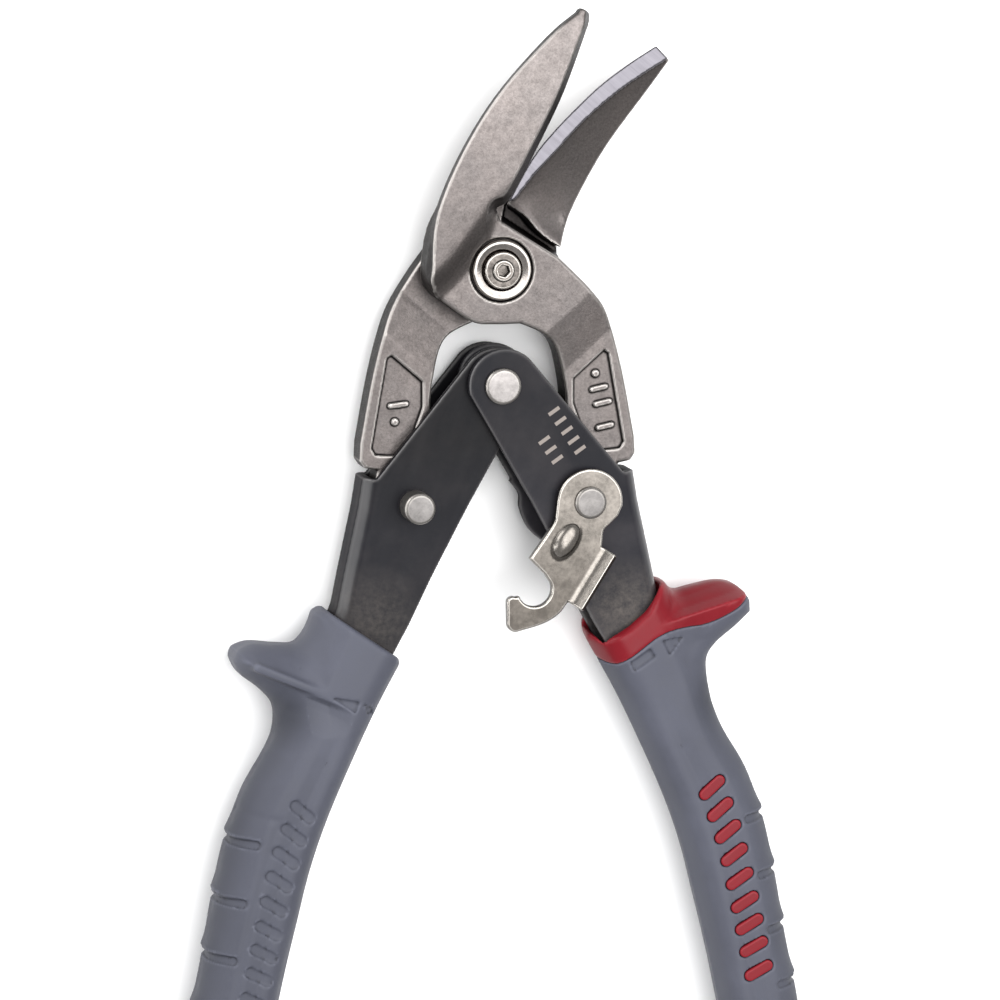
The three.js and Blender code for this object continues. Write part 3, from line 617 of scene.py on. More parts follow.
TANG_OUTER = smooth([(11.8, 2.2), (18.6, -4.6), (22.2, -9.8), (25.3, -20.5), (28, -34.5)])
TANG_CORNER = [(28.2, -38), (27.2, -39.5), (24.6, -40)]
TANG_INNER = smooth([(9.7, -45), (12.4, -36.5), (13.7, -27.5), (12.6, -19.6), (10, -14), (4, -10.9)])
POCKET = [(21.6, -16.8), (22.6, -17.5), (25.8, -35.6), (25, -37), (21, -37.3), (17, -32.5), (15.2, -27.5),
          (15.2, -22.4)]
GAP = [(2.0, 9.3), (14.4, 1.0), (17, 6), (3.0, 13.6)]  # between the front boss and the rear blade's root
FRONT_BOSS = [(-1.2, -10.9), (-5.6, -10.4), (-10.7, -7), (-13.3, -4.5), (-14.6, 0), (-13.6, 5.4)]

FOOT = smooth([(-0.5, 10.4), (-3.2, 6.8), (-8.3, 0), (-13, -4.4)])
FRONT_OUTER = smooth([(-14.9, 0), (-13.6, 10.4), (-8.6, 22.4), (-1, 34.4), (9.6, 46.1), (16.2, 51.4)])
FRONT_CUTTING = smooth([(-0.6, 12), (2.6, 14.2), (7.9, 23.8), (13.6, 35.4), (19.1, 50)])
REAR_CUTTING = smooth([(1.6, 12.9), (8, 23.6), (18.4, 34.2), (25.7, 39.8), (32.3, 43.9)])
REAR_LAND = smooth([(3.4, 13.9), (7.7, 19.1), (12.3, 23.8), (17.9, 29.5), (25.3, 35.4), (34.7, 41.2)])
REAR_OUTER = smooth([(13.4, 3.6), (16.6, 12.2), (22.6, 23.2), (30.8, 34.5), (35.3, 40.9)])
REAR_ROOT = smooth([(13.4, 3.6), (10.6, 5.3), (8.1, 7.4), (5.6, 10.2), (1.6, 12.9)])

# The lines above, closed far away on one side, for distances from the line alone.
LEFT_OF_FRONT_EDGE = FRONT_CUTTING[:-1] + [(18.6, 50.2), (30, 80), (-90, 80), (-90, -60), (-9, -60)]
PAST_FOOT = FOOT + [(-40, -25), (-60, 60), (40, 60), (6, 15)]
BEFORE_LAND = REAR_LAND + [(50, 55), (-30, 55), (-30, 0)]
BEFORE_ROOT = REAR_ROOT + [(-10, 20), (-20, -30), (30, -30)]


def along_tang(x, y):
    return x * math.cos(TANG_HEADING) + y * math.sin(TANG_HEADING)


def ramped(run, start_height, end_height):
    return np.interp(run, [RAMP_START, RAMP_END], [start_height, end_height]).astype(np.float32)


def pocket(x, y, h, face, bars, dot):
    """What a tang's recessed panel takes out: a tray with raised marks left on its floor."""
    depth, soft, mark_width, dot_r = 0.85, 0.25, 1.15, 0.8
    tray = meet(outline(POCKET, x, y) + 0.1, face - depth - h, soft)
    raised = disc(x, y, dot, dot_r)
    for centre, length, turn in bars:
        raised = np.minimum(raised, bar(x, y, centre, length, mark_width, turn))
    return cut(tray, meet(raised, h - (face - 0.1), soft), 0.1)


def front_jaw():
    axes, x, y, h = space((-16.2, -56.4, -3.4), (29.6, 53.2, 10.4), JAW_STEP)
    run = along_tang(x, y)
    tang_end = arc(TANG_PIN[:2], 8, 0, -180, 12)
    boss_end = smooth([(4, -10.9)] + FRONT_BOSS) + arc((0, 0), 11, 130, 95, 4)
    body = outline([(0.2, 9.6)] + TANG_OUTER + TANG_CORNER + [(25.3, -44)] + tang_end + TANG_INNER
                   + boss_end, x, y)
    below = ramped(run, 0.1, TANG_LOW) - h
    body = meet(meet(body, h - ramped(run, BOSS_TOP, TANG_HIGH), 0.7), below, 0.35)

    tip = [(15.9, 51.5), (16.5, 51.7), (18.7, 50.5)]
    heel = smooth([(-13.9, -3.7), (-14.9, -1.8), (-14.9, 0)])
    blade = outline(FOOT + heel[:-1] + FRONT_OUTER[:-1] + tip + FRONT_CUTTING[::-1], x, y)
    inward = -outline(LEFT_OF_FRONT_EDGE, x, y)
    from_foot = -outline(PAST_FOOT, x, y)
    wall_lean, foot_lean = 0.62, 1.0
    lean = (wall_lean * (h - BLADE_PLANE) - inward) / math.hypot(1, wall_lean)
    foot = (foot_lean * (h - BOSS_TOP) - from_foot) / math.hypot(1, foot_lean)
    # The face drops towards the tip and curls down to the foot at its lower left.
    curl = 0.05 * np.clip(6 - from_foot, 0, 6) ** 2
    face = h - np.interp(y, [0, 51], [9.2, 6.8]).astype(np.float32) + curl
    lobe = meet(meet(face, lean, 0.3), foot, 1.4)
    overhang = 0.1 * np.clip(h - BLADE_PLANE, 0, 5) * unit((47 - y) / 8) * unit((y - 2) / 10)
    lobe = meet(lobe, blade - overhang, 0.4)
    sunk = unit((14 - y) / 7) * unit((-5 - x) / 4)
    underside = BLADE_PLANE + 0.1 - 4.0 * sunk * sunk * (3 - 2 * sunk) - h
    whole = np.maximum(join(body, meet(lobe, underside, 0.12), 1.9), below)

    bars = [((20.6, -24.6), 4.0, 0.2), ((21.4, -27.6), 4.0, 0.2), ((21.9, -32.4), 4.0, 0.2)]
    whole = cut(whole, pocket(x, y, h, TANG_HIGH, bars, (19.9, -21.6)), 0.25)
    counterbore_r, counterbore_deep, clear_hole = 6.5, 1.4, 3.4
    whole = cut(whole, meet(disc(x, y, (0, 0), counterbore_r), BOSS_TOP - counterbore_deep - h, 0.2), 0.2)
    whole = cut(whole, disc(x, y, (0, 0), clear_hole))
    whole = cut(whole, disc(x, y, TANG_PIN, PIN_HOLE))

    def paint(x, y, h):
        # Painted shade: on the wall of the blade's foot, down the blade face towards the root, on the cutting
        # edge's wall and over the boss and tang; "calm" keeps the tip's edges from brightening.
        away = -outline(PAST_FOOT, x, y)
        inside = -outline(LEFT_OF_FRONT_EDGE, x, y)
        foot_wall = 0.5 * unit(1 - np.abs(h - 7.2) / 2.2) * unit((away + 1) / 2) * unit((3.4 - away) / 1.5)
        lower = 0.5 * unit((38 - y) / 34) * unit(h - 6.6)
        tang = 0.33 + 0.04 * unit((along_tang(x, y) - RAMP_START + 1) / 4)
        edge_wall = 0.6 * unit((3.4 - inside) / 0.5) * (y > 14) * (h < 6.6 + np.clip((51 - y) / 22, 0, 2))
        shades = [foot_wall * (y < 14), lower, edge_wall, tang * (h < BOSS_TOP + 0.1)]
        return {"shade": np.maximum.reduce(shades), "calm": unit((y - 47) / 2)}

    add_field("front_jaw_forging", "front_jaw", whole, axes, FORGED, paint)


def rear_jaw():
    axes, x, y, h = space((-29.6, -56.4, -6.6), (36.4, 45.2, 5.0), JAW_STEP)
    run = along_tang(-x, y)
    left = smooth([(-28, -34.5), (-25.3, -20.5), (-22.2, -9.8), (-18, -2.6), (-13.3, 3.8), (-8, 9.6),
                   (1, 12.9)])
    right = smooth([(13.9, 3.4), (13.4, -3.6), (9.6, -8.8), (4, -10.6)])
    tang_end = mirrored(TANG_INNER) + arc(LEFT_PIN, 8, 0, -180, 12) + [(-25.3, -44)] + mirrored(TANG_CORNER)
    body = outline(tang_end + left + [(8, 18), (14.8, 9.2)] + right, x, y)
    # Between the front boss and the blade's root the body is scooped away.
    tang_top = ramped(run, -0.1, -TANG_LOW)
    body = meet(body, h - (tang_top - 3.4 * unit(0.5 - outline(GAP, x, y))), 0.45)
    body = meet(body, ramped(run, BOSS_BOTTOM, -TANG_HIGH) - h, 0.9)

    blade = outline(REAR_CUTTING + [(34.9, 41.2)] + REAR_OUTER[::-1] + REAR_ROOT[1:], x, y)
    inward = -outline(REAR_CUTTING + [(60, 60), (80, -40), (0, -40)], x, y)
    beyond = outline(BEFORE_LAND, x, y)
    from_root = outline(BEFORE_ROOT, x, y)
    # Past the land the face falls away, and rises again to a lip along the root.
    fall = 0.45 + 0.42 * np.maximum(beyond, 0) ** 0.9
    lip = unit(1 - from_root / 7)
    fall = np.where(beyond > 0, fall * (1 - 0.55 * lip * lip), 0)
    rolled = 0.14 * np.clip(1.6 - from_root, 0, 1.6) ** 2
    face = h - (BLADE_PLANE - 0.1 - fall - np.where(beyond > 0, rolled, 0))
    low = np.interp(y, [8, 43], [BOSS_BOTTOM, BLADE_PLANE - 5]).astype(np.float32) - h
    under_lean = 0.3
    under = (under_lean * (BLADE_PLANE - h) - inward) / math.hypot(1, under_lean)
    solid = meet(meet(meet(blade, under), low, 0.9), face, 0.12)
    whole = join(body, solid, 0.4)
    whole = np.maximum(whole, np.where((from_root > 0) | (run < 13), -9, h - tang_top))

    whole = cut(whole, pocket(-x, y, h, -TANG_LOW, [((20.2, -27), 4.4, -0.1)], (20.9, -30.4)), 0.25)
    whole = cut(whole, disc(x, y, (0, 0), BOLT_HOLE))
    whole = cut(whole, disc(x, y, LEFT_PIN, PIN_HOLE))

    def paint(x, y, h):
        past = outline(BEFORE_LAND, x, y)
        near_root = outline(BEFORE_ROOT, x, y)
        on_root = near_root < 0.1
        inside = outline(REAR_CUTTING + [(36, 42)] + REAR_OUTER[::-1] + REAR_ROOT[1:], x, y)
        off_land = np.maximum(past, np.maximum(3.3 - h, inside - 0.4))
        # Painted shade: the blade's falling face, less of it towards the root, the tang, the area under the
        # front boss and the nub; the gap is painted black.
        portion = unit(1 - near_root / 16) * unit(past / 9)
        dark = unit((near_root + 0.2) / 0.5) * unit(1 - (inside - 1) / 2) * unit(0.42 - 0.7 * portion)
        gap = unit(1 - outline(GAP, x, y) / 0.8) * on_root * (h < 3.4)
        tang = 0.44 * (x < -8)
        nub = 0.75 * unit(1.6 - np.hypot(x - 0.9, y - 11.4) / 2) * on_root
        boss = outline([(0.2, 9.6), (13, 2), (9, -12)] + FRONT_BOSS, x, y)
        under_boss = 0.9 * unit(1 - boss / 7.5) ** 1.3 * (y < 8) * (x < 4)
        return {"ground": unit(0.5 - off_land), "deep_shade": gap, "calm": np.maximum(gap, nub),
                "shade": np.maximum.reduce([dark * (h > -2), tang, under_boss, nub])}

    add_field("rear_jaw_forging", "rear_jaw", whole, axes, FORGED, paint)


front_jaw()
rear_jaw()

# ---- jaw pivot


def hexagon(x, y, half_width, turn):
    """Distance to a hexagon, half_width from its middle to its sides."""
    angles = np.radians([turn, turn + 60, turn + 120])
    return np.maximum.reduce([np.abs(x * math.cos(a) + y * math.sin(a)) - half_width for a in angles])


def pivot_bolt():
    axes = grid((-4.0, -4.0, -0.3), (4.0, 4.0, HEAD_TOP + 0.4), 0.1)
    x, y, z = axes
    r = np.hypot(x, y)
    shank_r, head_r, crown_r, socket_half, socket_deep = 3, 3.7, 2.15, 1.12, 1.5
    seat = span("pivot_washer")[1][2] - 0.9
    body = meet(meet(r - shank_r, -z, 0.4), z - seat - 0.5)
    head = meet(meet(r - head_r, z - HEAD_TOP + 0.55, 0.3), seat - z, 0.1)
    crown = meet(meet(r - crown_r, z - HEAD_TOP, 0.3), seat - z)
    bolt = join(body, join(head, crown, 0.15))
    bolt = cut(bolt, meet(hexagon(x, y, socket_half, 15), HEAD_TOP - socket_deep - z, 0.1), 0.12)
    add_field("pivot_bolt_fine", "pivot_bolt", bolt, axes, BOLT)


def pivot_nut():
    low, high = (corner[2] for corner in span("pivot_nut"))
    axes = grid((-6.2, -6.2, low - 0.3), (6.2, 6.2, high + 0.3), 0.12)
    x, y, z = axes
    r = np.hypot(x, y)
    half_width = 5.0
    nut = meet(meet(hexagon(x, y, half_width, 0), z - high, 0.1), low - z, 0.1)
    for past_face in (z - high, low - z):
        nut = meet(nut, (r - half_width) * 0.5 + past_face * 0.87, 0.1)  # the corners are turned off
    add_field("pivot_nut_fine", "pivot_nut", cut(nut, r - BOLT_HOLE, 0.25), axes, NICKEL)


pivot_bolt()
pivot_nut()
WASHER_LOW = span("pivot_washer")[0][2]
CUP = [(3.15, 0), (6.05, 0), (6.05, 1.3), (5.8, 1.8), (5.4, 1.85), (4.15, 1.5), (3.85, 0.9), (3.15, 0.9),
       (3.15, 0)]
add_turned("pivot_cup_washer", "pivot_washer", [(r, WASHER_LOW + h) for r, h in CUP], NICKEL, 0.18)
add_ring("pivot_back_washer", "pivot_nut_washer", 3.15, 6.3, NICKEL, 0.15)

# ---- handles

SHEET = 2.0
WEB_TOP = -41.2
BEND = 3.2
EAR_CENTRE, EAR_R = (0.5, -23.1), 7.3
WALL = 3.3  # the grip's wall round the sheet
# The inner and the outer point of cross-sections down the right grip.
SECTIONS = [
    ((24, -87.5), (42, -80.8)),
    ((30, -100), (46.8, -93.7)),
    ((34.8, -111), (52.6, -103.8)),
    ((38.3, -121), (56.6, -115)),
    ((41, -131.5), (59.3, -127.5)),
    ((43.5, -141.5), (61.3, -139)),
    ((46, -153), (63.7, -150.5)),
    ((48.2, -165), (65.8, -162.8)),
    ((49.7, -177), (67.6, -175.2)),
    ((50.6, -187), (69.6, -186.4)),
]
INNER_POINTS, OUTER_POINTS = (list(points) for points in zip(*SECTIONS))


def toward(a, b, distance):
    return lerp(a, b, distance / math.dist(a, b))


WEB_LINE = [(27.7, WEB_TOP), (28.7, -47.4), (31.6, -60.6), (33, -67.4)]
WEB_LINE += [toward(o, i, WALL) for i, o in SECTIONS[:8]]
FREE_EDGE = [(-6.7, -24.6), (1.6, -39), (6.2, -47), (14.1, -61.8), (18.7, -71.2)]
FREE_EDGE += [toward(i, o, WALL) for i, o in SECTIONS[:8]]
WALL_OUTLINE = arc(EAR_CENTRE, EAR_R, 190, 39, 24) + [(25.2, WEB_TOP - 0.4)] + WEB_LINE + FREE_EDGE[::-1]
WEB_SIDE = [(28.4, 20)] + WEB_LINE + [(62, -240), (-90, -240), (-90, 20)]


def handle(name, node, reach, mirror=False, lobe=False):
    """A handle of folded sheet, with a stop lobe on the back wall of the one that has it."""
    low, high = reach
    axes, x, y, h = space((-8.4, -168, low - 0.8), (64.4, -14.6, high + 0.8), 0.4)
    wall, web = outline(WALL_OUTLINE, x, y), outline(WEB_SIDE, x, y)
    blank = meet(meet(wall, slab(h, low, high), 0.3), meet(web, slab(h, low, high), BEND))
    room = slab(h, low + SHEET, high - SHEET)
    hollow = np.minimum(meet(web + SHEET, room, BEND - SHEET), np.maximum(room, WEB_TOP - y))
    sheet = cut(blank, hollow, 0.25)
    if lobe:
        stop = smooth([(3.6, -43.6), (5.8, -46.6), (6, -49.6), (8, -54), (12.6, -57.9)]) + [(13, -47)]
        sheet = join(sheet, meet(outline(stop, x, y), slab(h, low, low + SHEET), 0.3))
    sheet = cut(sheet, disc(x, y, HANDLE_PIVOT, PIN_HOLE))
    sheet = cut(sheet, disc(x, y, TANG_PIN, PIN_HOLE))

    def paint(x, y, h):
        near_grip = np.hypot(np.abs(x) - 26, y + 71)
        down = unit((-34 - y) / 18)
        return {"scuff": unit(1 - near_grip / 13) * (1.0 if lobe else 0.5),
                "pale": 0.4 + 0.45 * down if lobe else 0.4 * down}

    add_field(name, node, sheet, axes, BLACK, paint, mirror)


handle("left_handle_sheet", "left_handle", LEFT_REACH, mirror=True)
handle("right_handle_sheet", "right_handle", RIGHT_REACH, lobe=True)

# ---- rivets, spring


def rivet(node, seat, head_r, finish):
    """A two-headed rivet: a closing head at the back, a shank, and a head that sits on seat."""
    low, high = (corner[2] for corner in span(node))
    back_head, shank_r = low + 1.2, 2.7
    seat = SHEAR + seat + 0.05
    profile = [
        (0, low), (2.4, low + 0.05), (3.3, low + 0.4), (3.6, back_head - 0.05), (shank_r, back_head - 0.05),
        (shank_r, seat), (head_r, seat), (head_r, high - 0.45), (head_r - 0.5, high - 0.1), (0, high),
    ]
    add_turned(node + "_fine", node, profile, finish)


rivet("handle_pivot_rivet", RIGHT_REACH[1], 3.65, RIVET)
rivet("latch_post", LEFT_REACH[1], 3.15, DULL_RIVET)
rivet("latch_rivet", LATCH_LOW + LATCH_THICK, 3.25, DULL_RIVET)
add_ring("spring_sleeve_fine", "spring_sleeve", 2.85, 3.6, RIVET)
add_ring("latch_wave_washer", "latch_spring_washer", 2.85, 4.8, WIRE, 0.12)


def return_spring():
    """The torsion coil, its legs reaching down between the two tangs."""
    wire, coil_r, turns, pitch = 0.62, 4.5, 2.6, 1.36
    first_turn, steps, sides = 200, 104, 16
    cx, cy = HANDLE_PIVOT[:2]
    start = SHEAR - turns * pitch / 2
    coil = []
    for i in range(steps + 1):
        done = turns * i / steps
        a = math.radians(first_turn - done * 360)
        coil.append((cx + coil_r * math.cos(a), cy + coil_r * math.sin(a), start + done * pitch))
    leg = [(9.3, -36), (8.6, -33.6), (7.5, -30.4)]
    end = coil[-1][2]
    path = np.array([(-x, y, start) for x, y in leg] + coil + [(x, y, end) for x, y in leg[::-1]])
    tangent = np.gradient(path, axis=0)
    tangent /= np.linalg.norm(tangent, axis=1)[:, None]
    side = np.cross(tangent, (0, 0, 1.0))
    side /= np.linalg.norm(side, axis=1)[:, None]
    up = np.cross(side, tangent)
    angles = np.linspace(0, 2 * math.pi, sides, endpoint=False)[None, :, None]
    rings = path[:, None] + wire * (np.cos(angles) * side[:, None] + np.sin(angles) * up[:, None])
    vertices = rings.reshape(-1, 3)
    faces = []
    for r in range(len(path) - 1):
        for i in range(sides):
            a, b = r * sides + i, r * sides + (i + 1) % sides
            faces.append([a + sides, b + sides, b, a])
    last = len(vertices) - sides
    faces += [[0, i, i + 1] for i in range(1, sides - 1)]
    faces += [[last + i + 1, last + i, last] for i in range(1, sides - 1)]
    spring = add_piece("return_spring_coil", "return_spring", vertices, faces, WIRE, rides=False)
    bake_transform(spring)


return_spring()

# ---- latch


def latch():
    throat_r, oval_half, oval_centre = 3.45, (2.2, 3.7), (12.5, -54.5)
    hook = arc(TANG_PIN[:2], 20.72, -123.4, -123.4, 1)[0]
    shape = (
        arc(TANG_PIN[:2], 6.8, -8, 172, 28)
        + smooth([(10.4, -49.4), (9.6, -51.6), (5, -58)])[1:]
        + [(8.1, -61.2)]
        + arc(hook, throat_r, 20, -160, 20)
        + arc((1.5, -66.7), 1.2, 60, 170, 8)
        + smooth([(0.3, -67.6), (0.35, -70.6)])
        + arc((2.2, -70.9), 1.9, 190, 280, 8)
        + smooth([(2.6, -72.7), (7.6, -71.4), (10.9, -69.6), (12.9, -67.2)])
        + [(20, -56)]
        + smooth([(20.1, -55), (20.4, -52.8), (21.6, -51.6), (23.3, -50)])
    )
    axes, x, y, h = space((-0.6, -73.6, LATCH_LOW - 0.6), (25.4, -39.4, LATCH_LOW + 6.4), 0.16)
    g = h - LATCH_LOW
    plate = meet(outline(shape, x, y), slab(g, 0, LATCH_THICK), 0.4)
    # An oval is pressed up in the middle, hollow from below.
    c, s = math.cos(math.radians(-32)), math.sin(math.radians(-32))
    dx, dy = x - oval_centre[0], y - oval_centre[1]
    narrow, wide = oval_half
    oval = (np.hypot((dx * c + dy * s) / narrow, (dy * c - dx * s) / wide) - 1) * narrow
    raised = 1.35 * np.sqrt(unit(1 - (1 + oval / narrow) ** 2))
    dome = meet(oval, g - LATCH_THICK - raised, 0.1)
    plate = join(plate, meet(dome, 0.4 - g), 0.7)
    press = 0.8 * unit((-oval - 0.3) / 1.3) ** 0.5
    plate = cut(plate, meet(oval + 0.6, g - press, 0.1), 0.2)

    fold_a, fold_b = np.array((12.9, -67.2)), np.array((20.0, -56.0))
    length = np.linalg.norm(fold_b - fold_a)
    run = (fold_b - fold_a) / length

    def past_fold(x, y):
        return (x - fold_a[0]) * run[1] - (y - fold_a[1]) * run[0]

    v = (x - fold_a[0]) * run[0] + (y - fold_a[1]) * run[1]
    strip = smooth([(-1.2, 0), (0.4, 0.02), (1.7, 0.5), (3.7, 2.1)], 4)
    strip += smooth([(2.8, 3.2), (1.0, 2.0), (-0.2, 1.8), (-1.2, 1.8)], 4)
    tab = meet(outline(strip, past_fold(x, y), g), slab(v, 0.1, length - 0.1), 0.35)
    whole = cut(join(plate, tab), disc(x, y, TANG_PIN, 2.9), 0.2)

    def paint(x, y, h):
        # Painted shade on the plate's plain face, darker towards the hook; the folded tab is left bright.
        down = unit((-47 - y) / 20)
        plain_face = unit((0.3 - past_fold(x, y)) / 0.4) * unit((2.3 - (h - LATCH_LOW)) / 0.4)
        return {"shade": plain_face * (0.55 + 0.3 * down)}

    add_field("latch_stamping", "latch", whole, axes, LATCH_PLATE, paint)


latch()

# ---- grips

GRIP_STEP = 0.36
SKIN_DEPTH = 0.5  # of shapes pressed into a grip
NOTCHES = (-113, -124.8, -136.4, -148, -159.6, -171)
MARK_COUNT = 9
MARK_HEIGHT, MARK_WIDTH, MARK_TURN = 6.4, 2.3, 0.35
BELOW_MOUTH = [(46, -52), (120, -48), (120, -240), (-30, -240), (0, -78)]
RIGHT_RIM = [(17.0, -76.6), (17.8, -75.4), (24, -70.6), (33.0, -64.7), (34.1, -64.4)]
RIGHT_RIM_FRONT = [(17.0, -76.4), (17.9, -75.6), (21.6, -75.6), (26, -73.1), (29.5, -70.1), (32, -66.6),
                   (32.8, -65.2), (34.1, -64.6)]
LEFT_RIM = [(20.4, -78.6), (21.2, -77.6), (22.6, -76.6), (34.9, -68.0), (36.2, -67.3), (37.2, -67.9)]
RIGHT_GUARD_TOP = smooth([(33.4, -66.4), (36.6, -67.3), (40.4, -66.4), (46.4, -65.4), (50.2, -66.3),
                          (52.3, -69)])
RIGHT_GUARD_LOW = smooth([(52.6, -71.4), (49.6, -74.4), (45.6, -77.6), (43.3, -80.8), (42.5, -84.6),
                          (42.2, -89), (41, -96)])
LEFT_GUARD_TOP = smooth([(37.0, -68.6), (38.2, -72), (41, -74.4), (45, -74.5), (50.6, -74), (53.6, -75.2)])
LEFT_GUARD_LOW = smooth([(54.4, -77.2), (53, -80), (49.6, -82.7), (46.4, -86), (44.6, -89.4), (43.6, -93.6),
                         (42, -100)])
RED_LINE = smooth([(21.2, -80.1), (23.4, -80.5), (26.6, -78.7), (32, -74.9), (36.6, -73.6), (42.2, -73),
                   (47.6, -70.8), (51.4, -68)])
GREY_SIDE = [(10, -71), (17.6, -77.3)] + RED_LINE + [(58, -63.6), (80, -40), (0, -40)]
# The inner and the outer line of a grip from above its top, the line round its end, and the outer
# line closed far away on the inner side.
INNER_LINE = smooth([(8.6, -58.6), (14.6, -70.2), (17.4, -75.6)] + INNER_POINTS)
OUTER_LINE = smooth([(27.4, -48), (31.8, -57.5), (36.4, -67.5)] + OUTER_POINTS)
GRIP_END = smooth([INNER_POINTS[-1], (51.2, -191), (52.8, -194.6), (56.4, -196.5), (60.4, -196.8),
                   (64.6, -196.4), (68.1, -194.4), (69.5, -190.6), OUTER_POINTS[-1]])
WITHIN_OUTER = OUTER_LINE + [(70, -260), (-60, -260), (-60, -40), (20, -40)]


def mark_places(share):
    """Where the slanted marks stand: centre and heading, at a share of the way across the grip."""
    first, last = 1.93, 5.45  # in cross-sections
    for i in range(MARK_COUNT):
        place = first + (last - first) * i / (MARK_COUNT - 1)
        k = int(place)
        inner, outer = (lerp(SECTIONS[k][s], SECTIONS[k + 1][s], place - k) for s in (0, 1))
        yield lerp(inner, outer, share), math.atan2(outer[1] - inner[1], outer[0] - inner[0]) + MARK_TURN


def marks(x, y, share, grow=0.0):
    bars = [bar(x, y, centre, MARK_HEIGHT, MARK_WIDTH, turn) for centre, turn in mark_places(share)]
    return np.minimum.reduce(bars) - grow


def rim_distance(x, y, h, rim, rim_front):
    """How far a point is outside the grip's mouth, whose front dips to rim_front."""
    dip = unit((h + 2) / 11) ** 1.5
    return outline(rim + BELOW_MOUTH, x, y) * (1 - dip) + outline(rim_front + BELOW_MOUTH, x, y) * dip


def beside(x, y, line):
    """How far a point lies to the right of a line between two points."""
    (ax, ay), (bx, by) = line
    return ((x - ax) * (by - ay) + (y - ay) * (ax - bx)) / math.dist(*line)


def grip_field(where, guard_outline, ridge, falls, lean, guard_round):
    """A grip without its details. ridge is a line along the guard, from its tip. The guard falls
    away from it towards the mouth and towards the grip's end, as falls gives for distances of
    0, 1.2, 3 and 6. lean is the slope of the inner side behind its crest."""
    x, y, h = where
    plan = outline(INNER_LINE + GRIP_END[1:-1] + OUTER_LINE[::-1], x, y)
    in_side = outline(INNER_LINE + [(51, -260), (160, -260), (160, -40), (4, -40)], x, y)
    out_side = outline(WITHIN_OUTER, x, y)
    across = unit(in_side / np.minimum(in_side + out_side, -1))
    below_guard = unit((-86 - y) / 12)
    hollow = np.interp(across, [0, 0.25, 0.4, 0.56, 0.7, 1], [0, 0, 0.6, 0.12, 0.25, 1.0]).astype(np.float32)
    face = np.abs(h) - GRIP_HALF
    # Finger ridges: each swells towards its notch, then steps back in.
    swell = np.full_like(plan, 0.4)
    for notch in NOTCHES:
        t = (y - notch) / 5.0
        swell = swell - np.where((t > 0) & (t < 1), 0.75 * (1 - t) ** 2, 0)
    outward = unit(across * 2 - 0.5)
    rounding = 2.0 + np.where(h < 0, 6.6, 4.8) * outward
    body = meet(plan + swell * outward, face + hollow * below_guard, rounding)
    # The inner side comes to a blunt crest. A facet runs from the crest up to the front face,
    # and behind the crest the side leans back.
    crest, strip = 3.0, 3.9
    rise = GRIP_HALF - crest
    facet = (in_side * rise + (h - crest) * strip) / math.hypot(rise, strip)
    behind = (in_side + lean * (crest - h)) / math.hypot(1, lean)
    body = meet(body, meet(facet, behind, 1.0), 2.4)

    flap = outline(guard_outline + [(36, -100), (27, -84), (29, -70)], x, y)
    above = beside(x, y, ridge)
    reach = [0, 1.2, 3, 6]
    half = GRIP_HALF - 0.8 - np.interp(above, reach, falls[0]) - np.interp(-above, reach, falls[1])
    half = half.astype(np.float32)
    guard = meet(flap, np.abs(h) - half, np.minimum(guard_round, half - 0.5))
    fillet = 3.0 * unit(1 + out_side / 9)
    return np.maximum(join(body, guard, fillet), face)


def shaded(x, y, h):
    """Painted shade on the grips: darker on the outer side, most of all under the guard, and lower down the
    left grip.
    """
    left, x = x < 0, np.abs(x)
    inwards = -outline(WITHIN_OUTER, x, y)
    side = unit(1 - inwards / 6.5) * unit((-78 - y) / 8)
    under = unit(1 - np.hypot((x - 43) / 6.5, (y + 89) / 7))
    lower = 0.16 * left * unit((-96 - y) / 14)
    return {"shade": np.minimum(0.55 * side ** 1.2 + 0.5 * under + lower, 1)}


def finger_slots(x, y):
    """D-shaped slots across the outer part of a grip, one at every ridge."""
    outer_x, outer_y = zip(*OUTER_POINTS[::-1])
    edges = np.interp(NOTCHES, outer_y, outer_x)
    slots = [bar(x, y, (edge + 0.5, notch - 0.2), 12.4, 1.9, 0.1) for edge, notch in zip(edges, NOTCHES)]
    return np.minimum.reduce(slots)


def sink(body, shape, depth, where):
    """Presses a flat shape into a body's skin, where a mask holds."""
    return cut(body, np.maximum(shape, -(body + depth)) + np.where(where, 0, 9), 0.12)


def open_mouth(body, x, y, h, reach, rim, rim_front):
    """Cuts the mouth, the room for the handle's sheet, and a flare round the sheet."""
    clearance = 0.3
    outside = rim_distance(x, y, h, rim, rim_front)
    body = meet(body, outside, 1.1)
    between = slab(h, *reach)
    wall, web = outline(WALL_OUTLINE, x, y), outline(WEB_SIDE, x, y)
    sheet = np.maximum(meet(wall, between, 0.3), meet(web, between, BEND))
    body = cut(body, sheet - clearance)
    flare = clearance + 0.8 * unit(1 + outside / 2.2) ** 1.5
    return cut(body, np.maximum(sheet - flare, -2.4 - outside), 0.25)


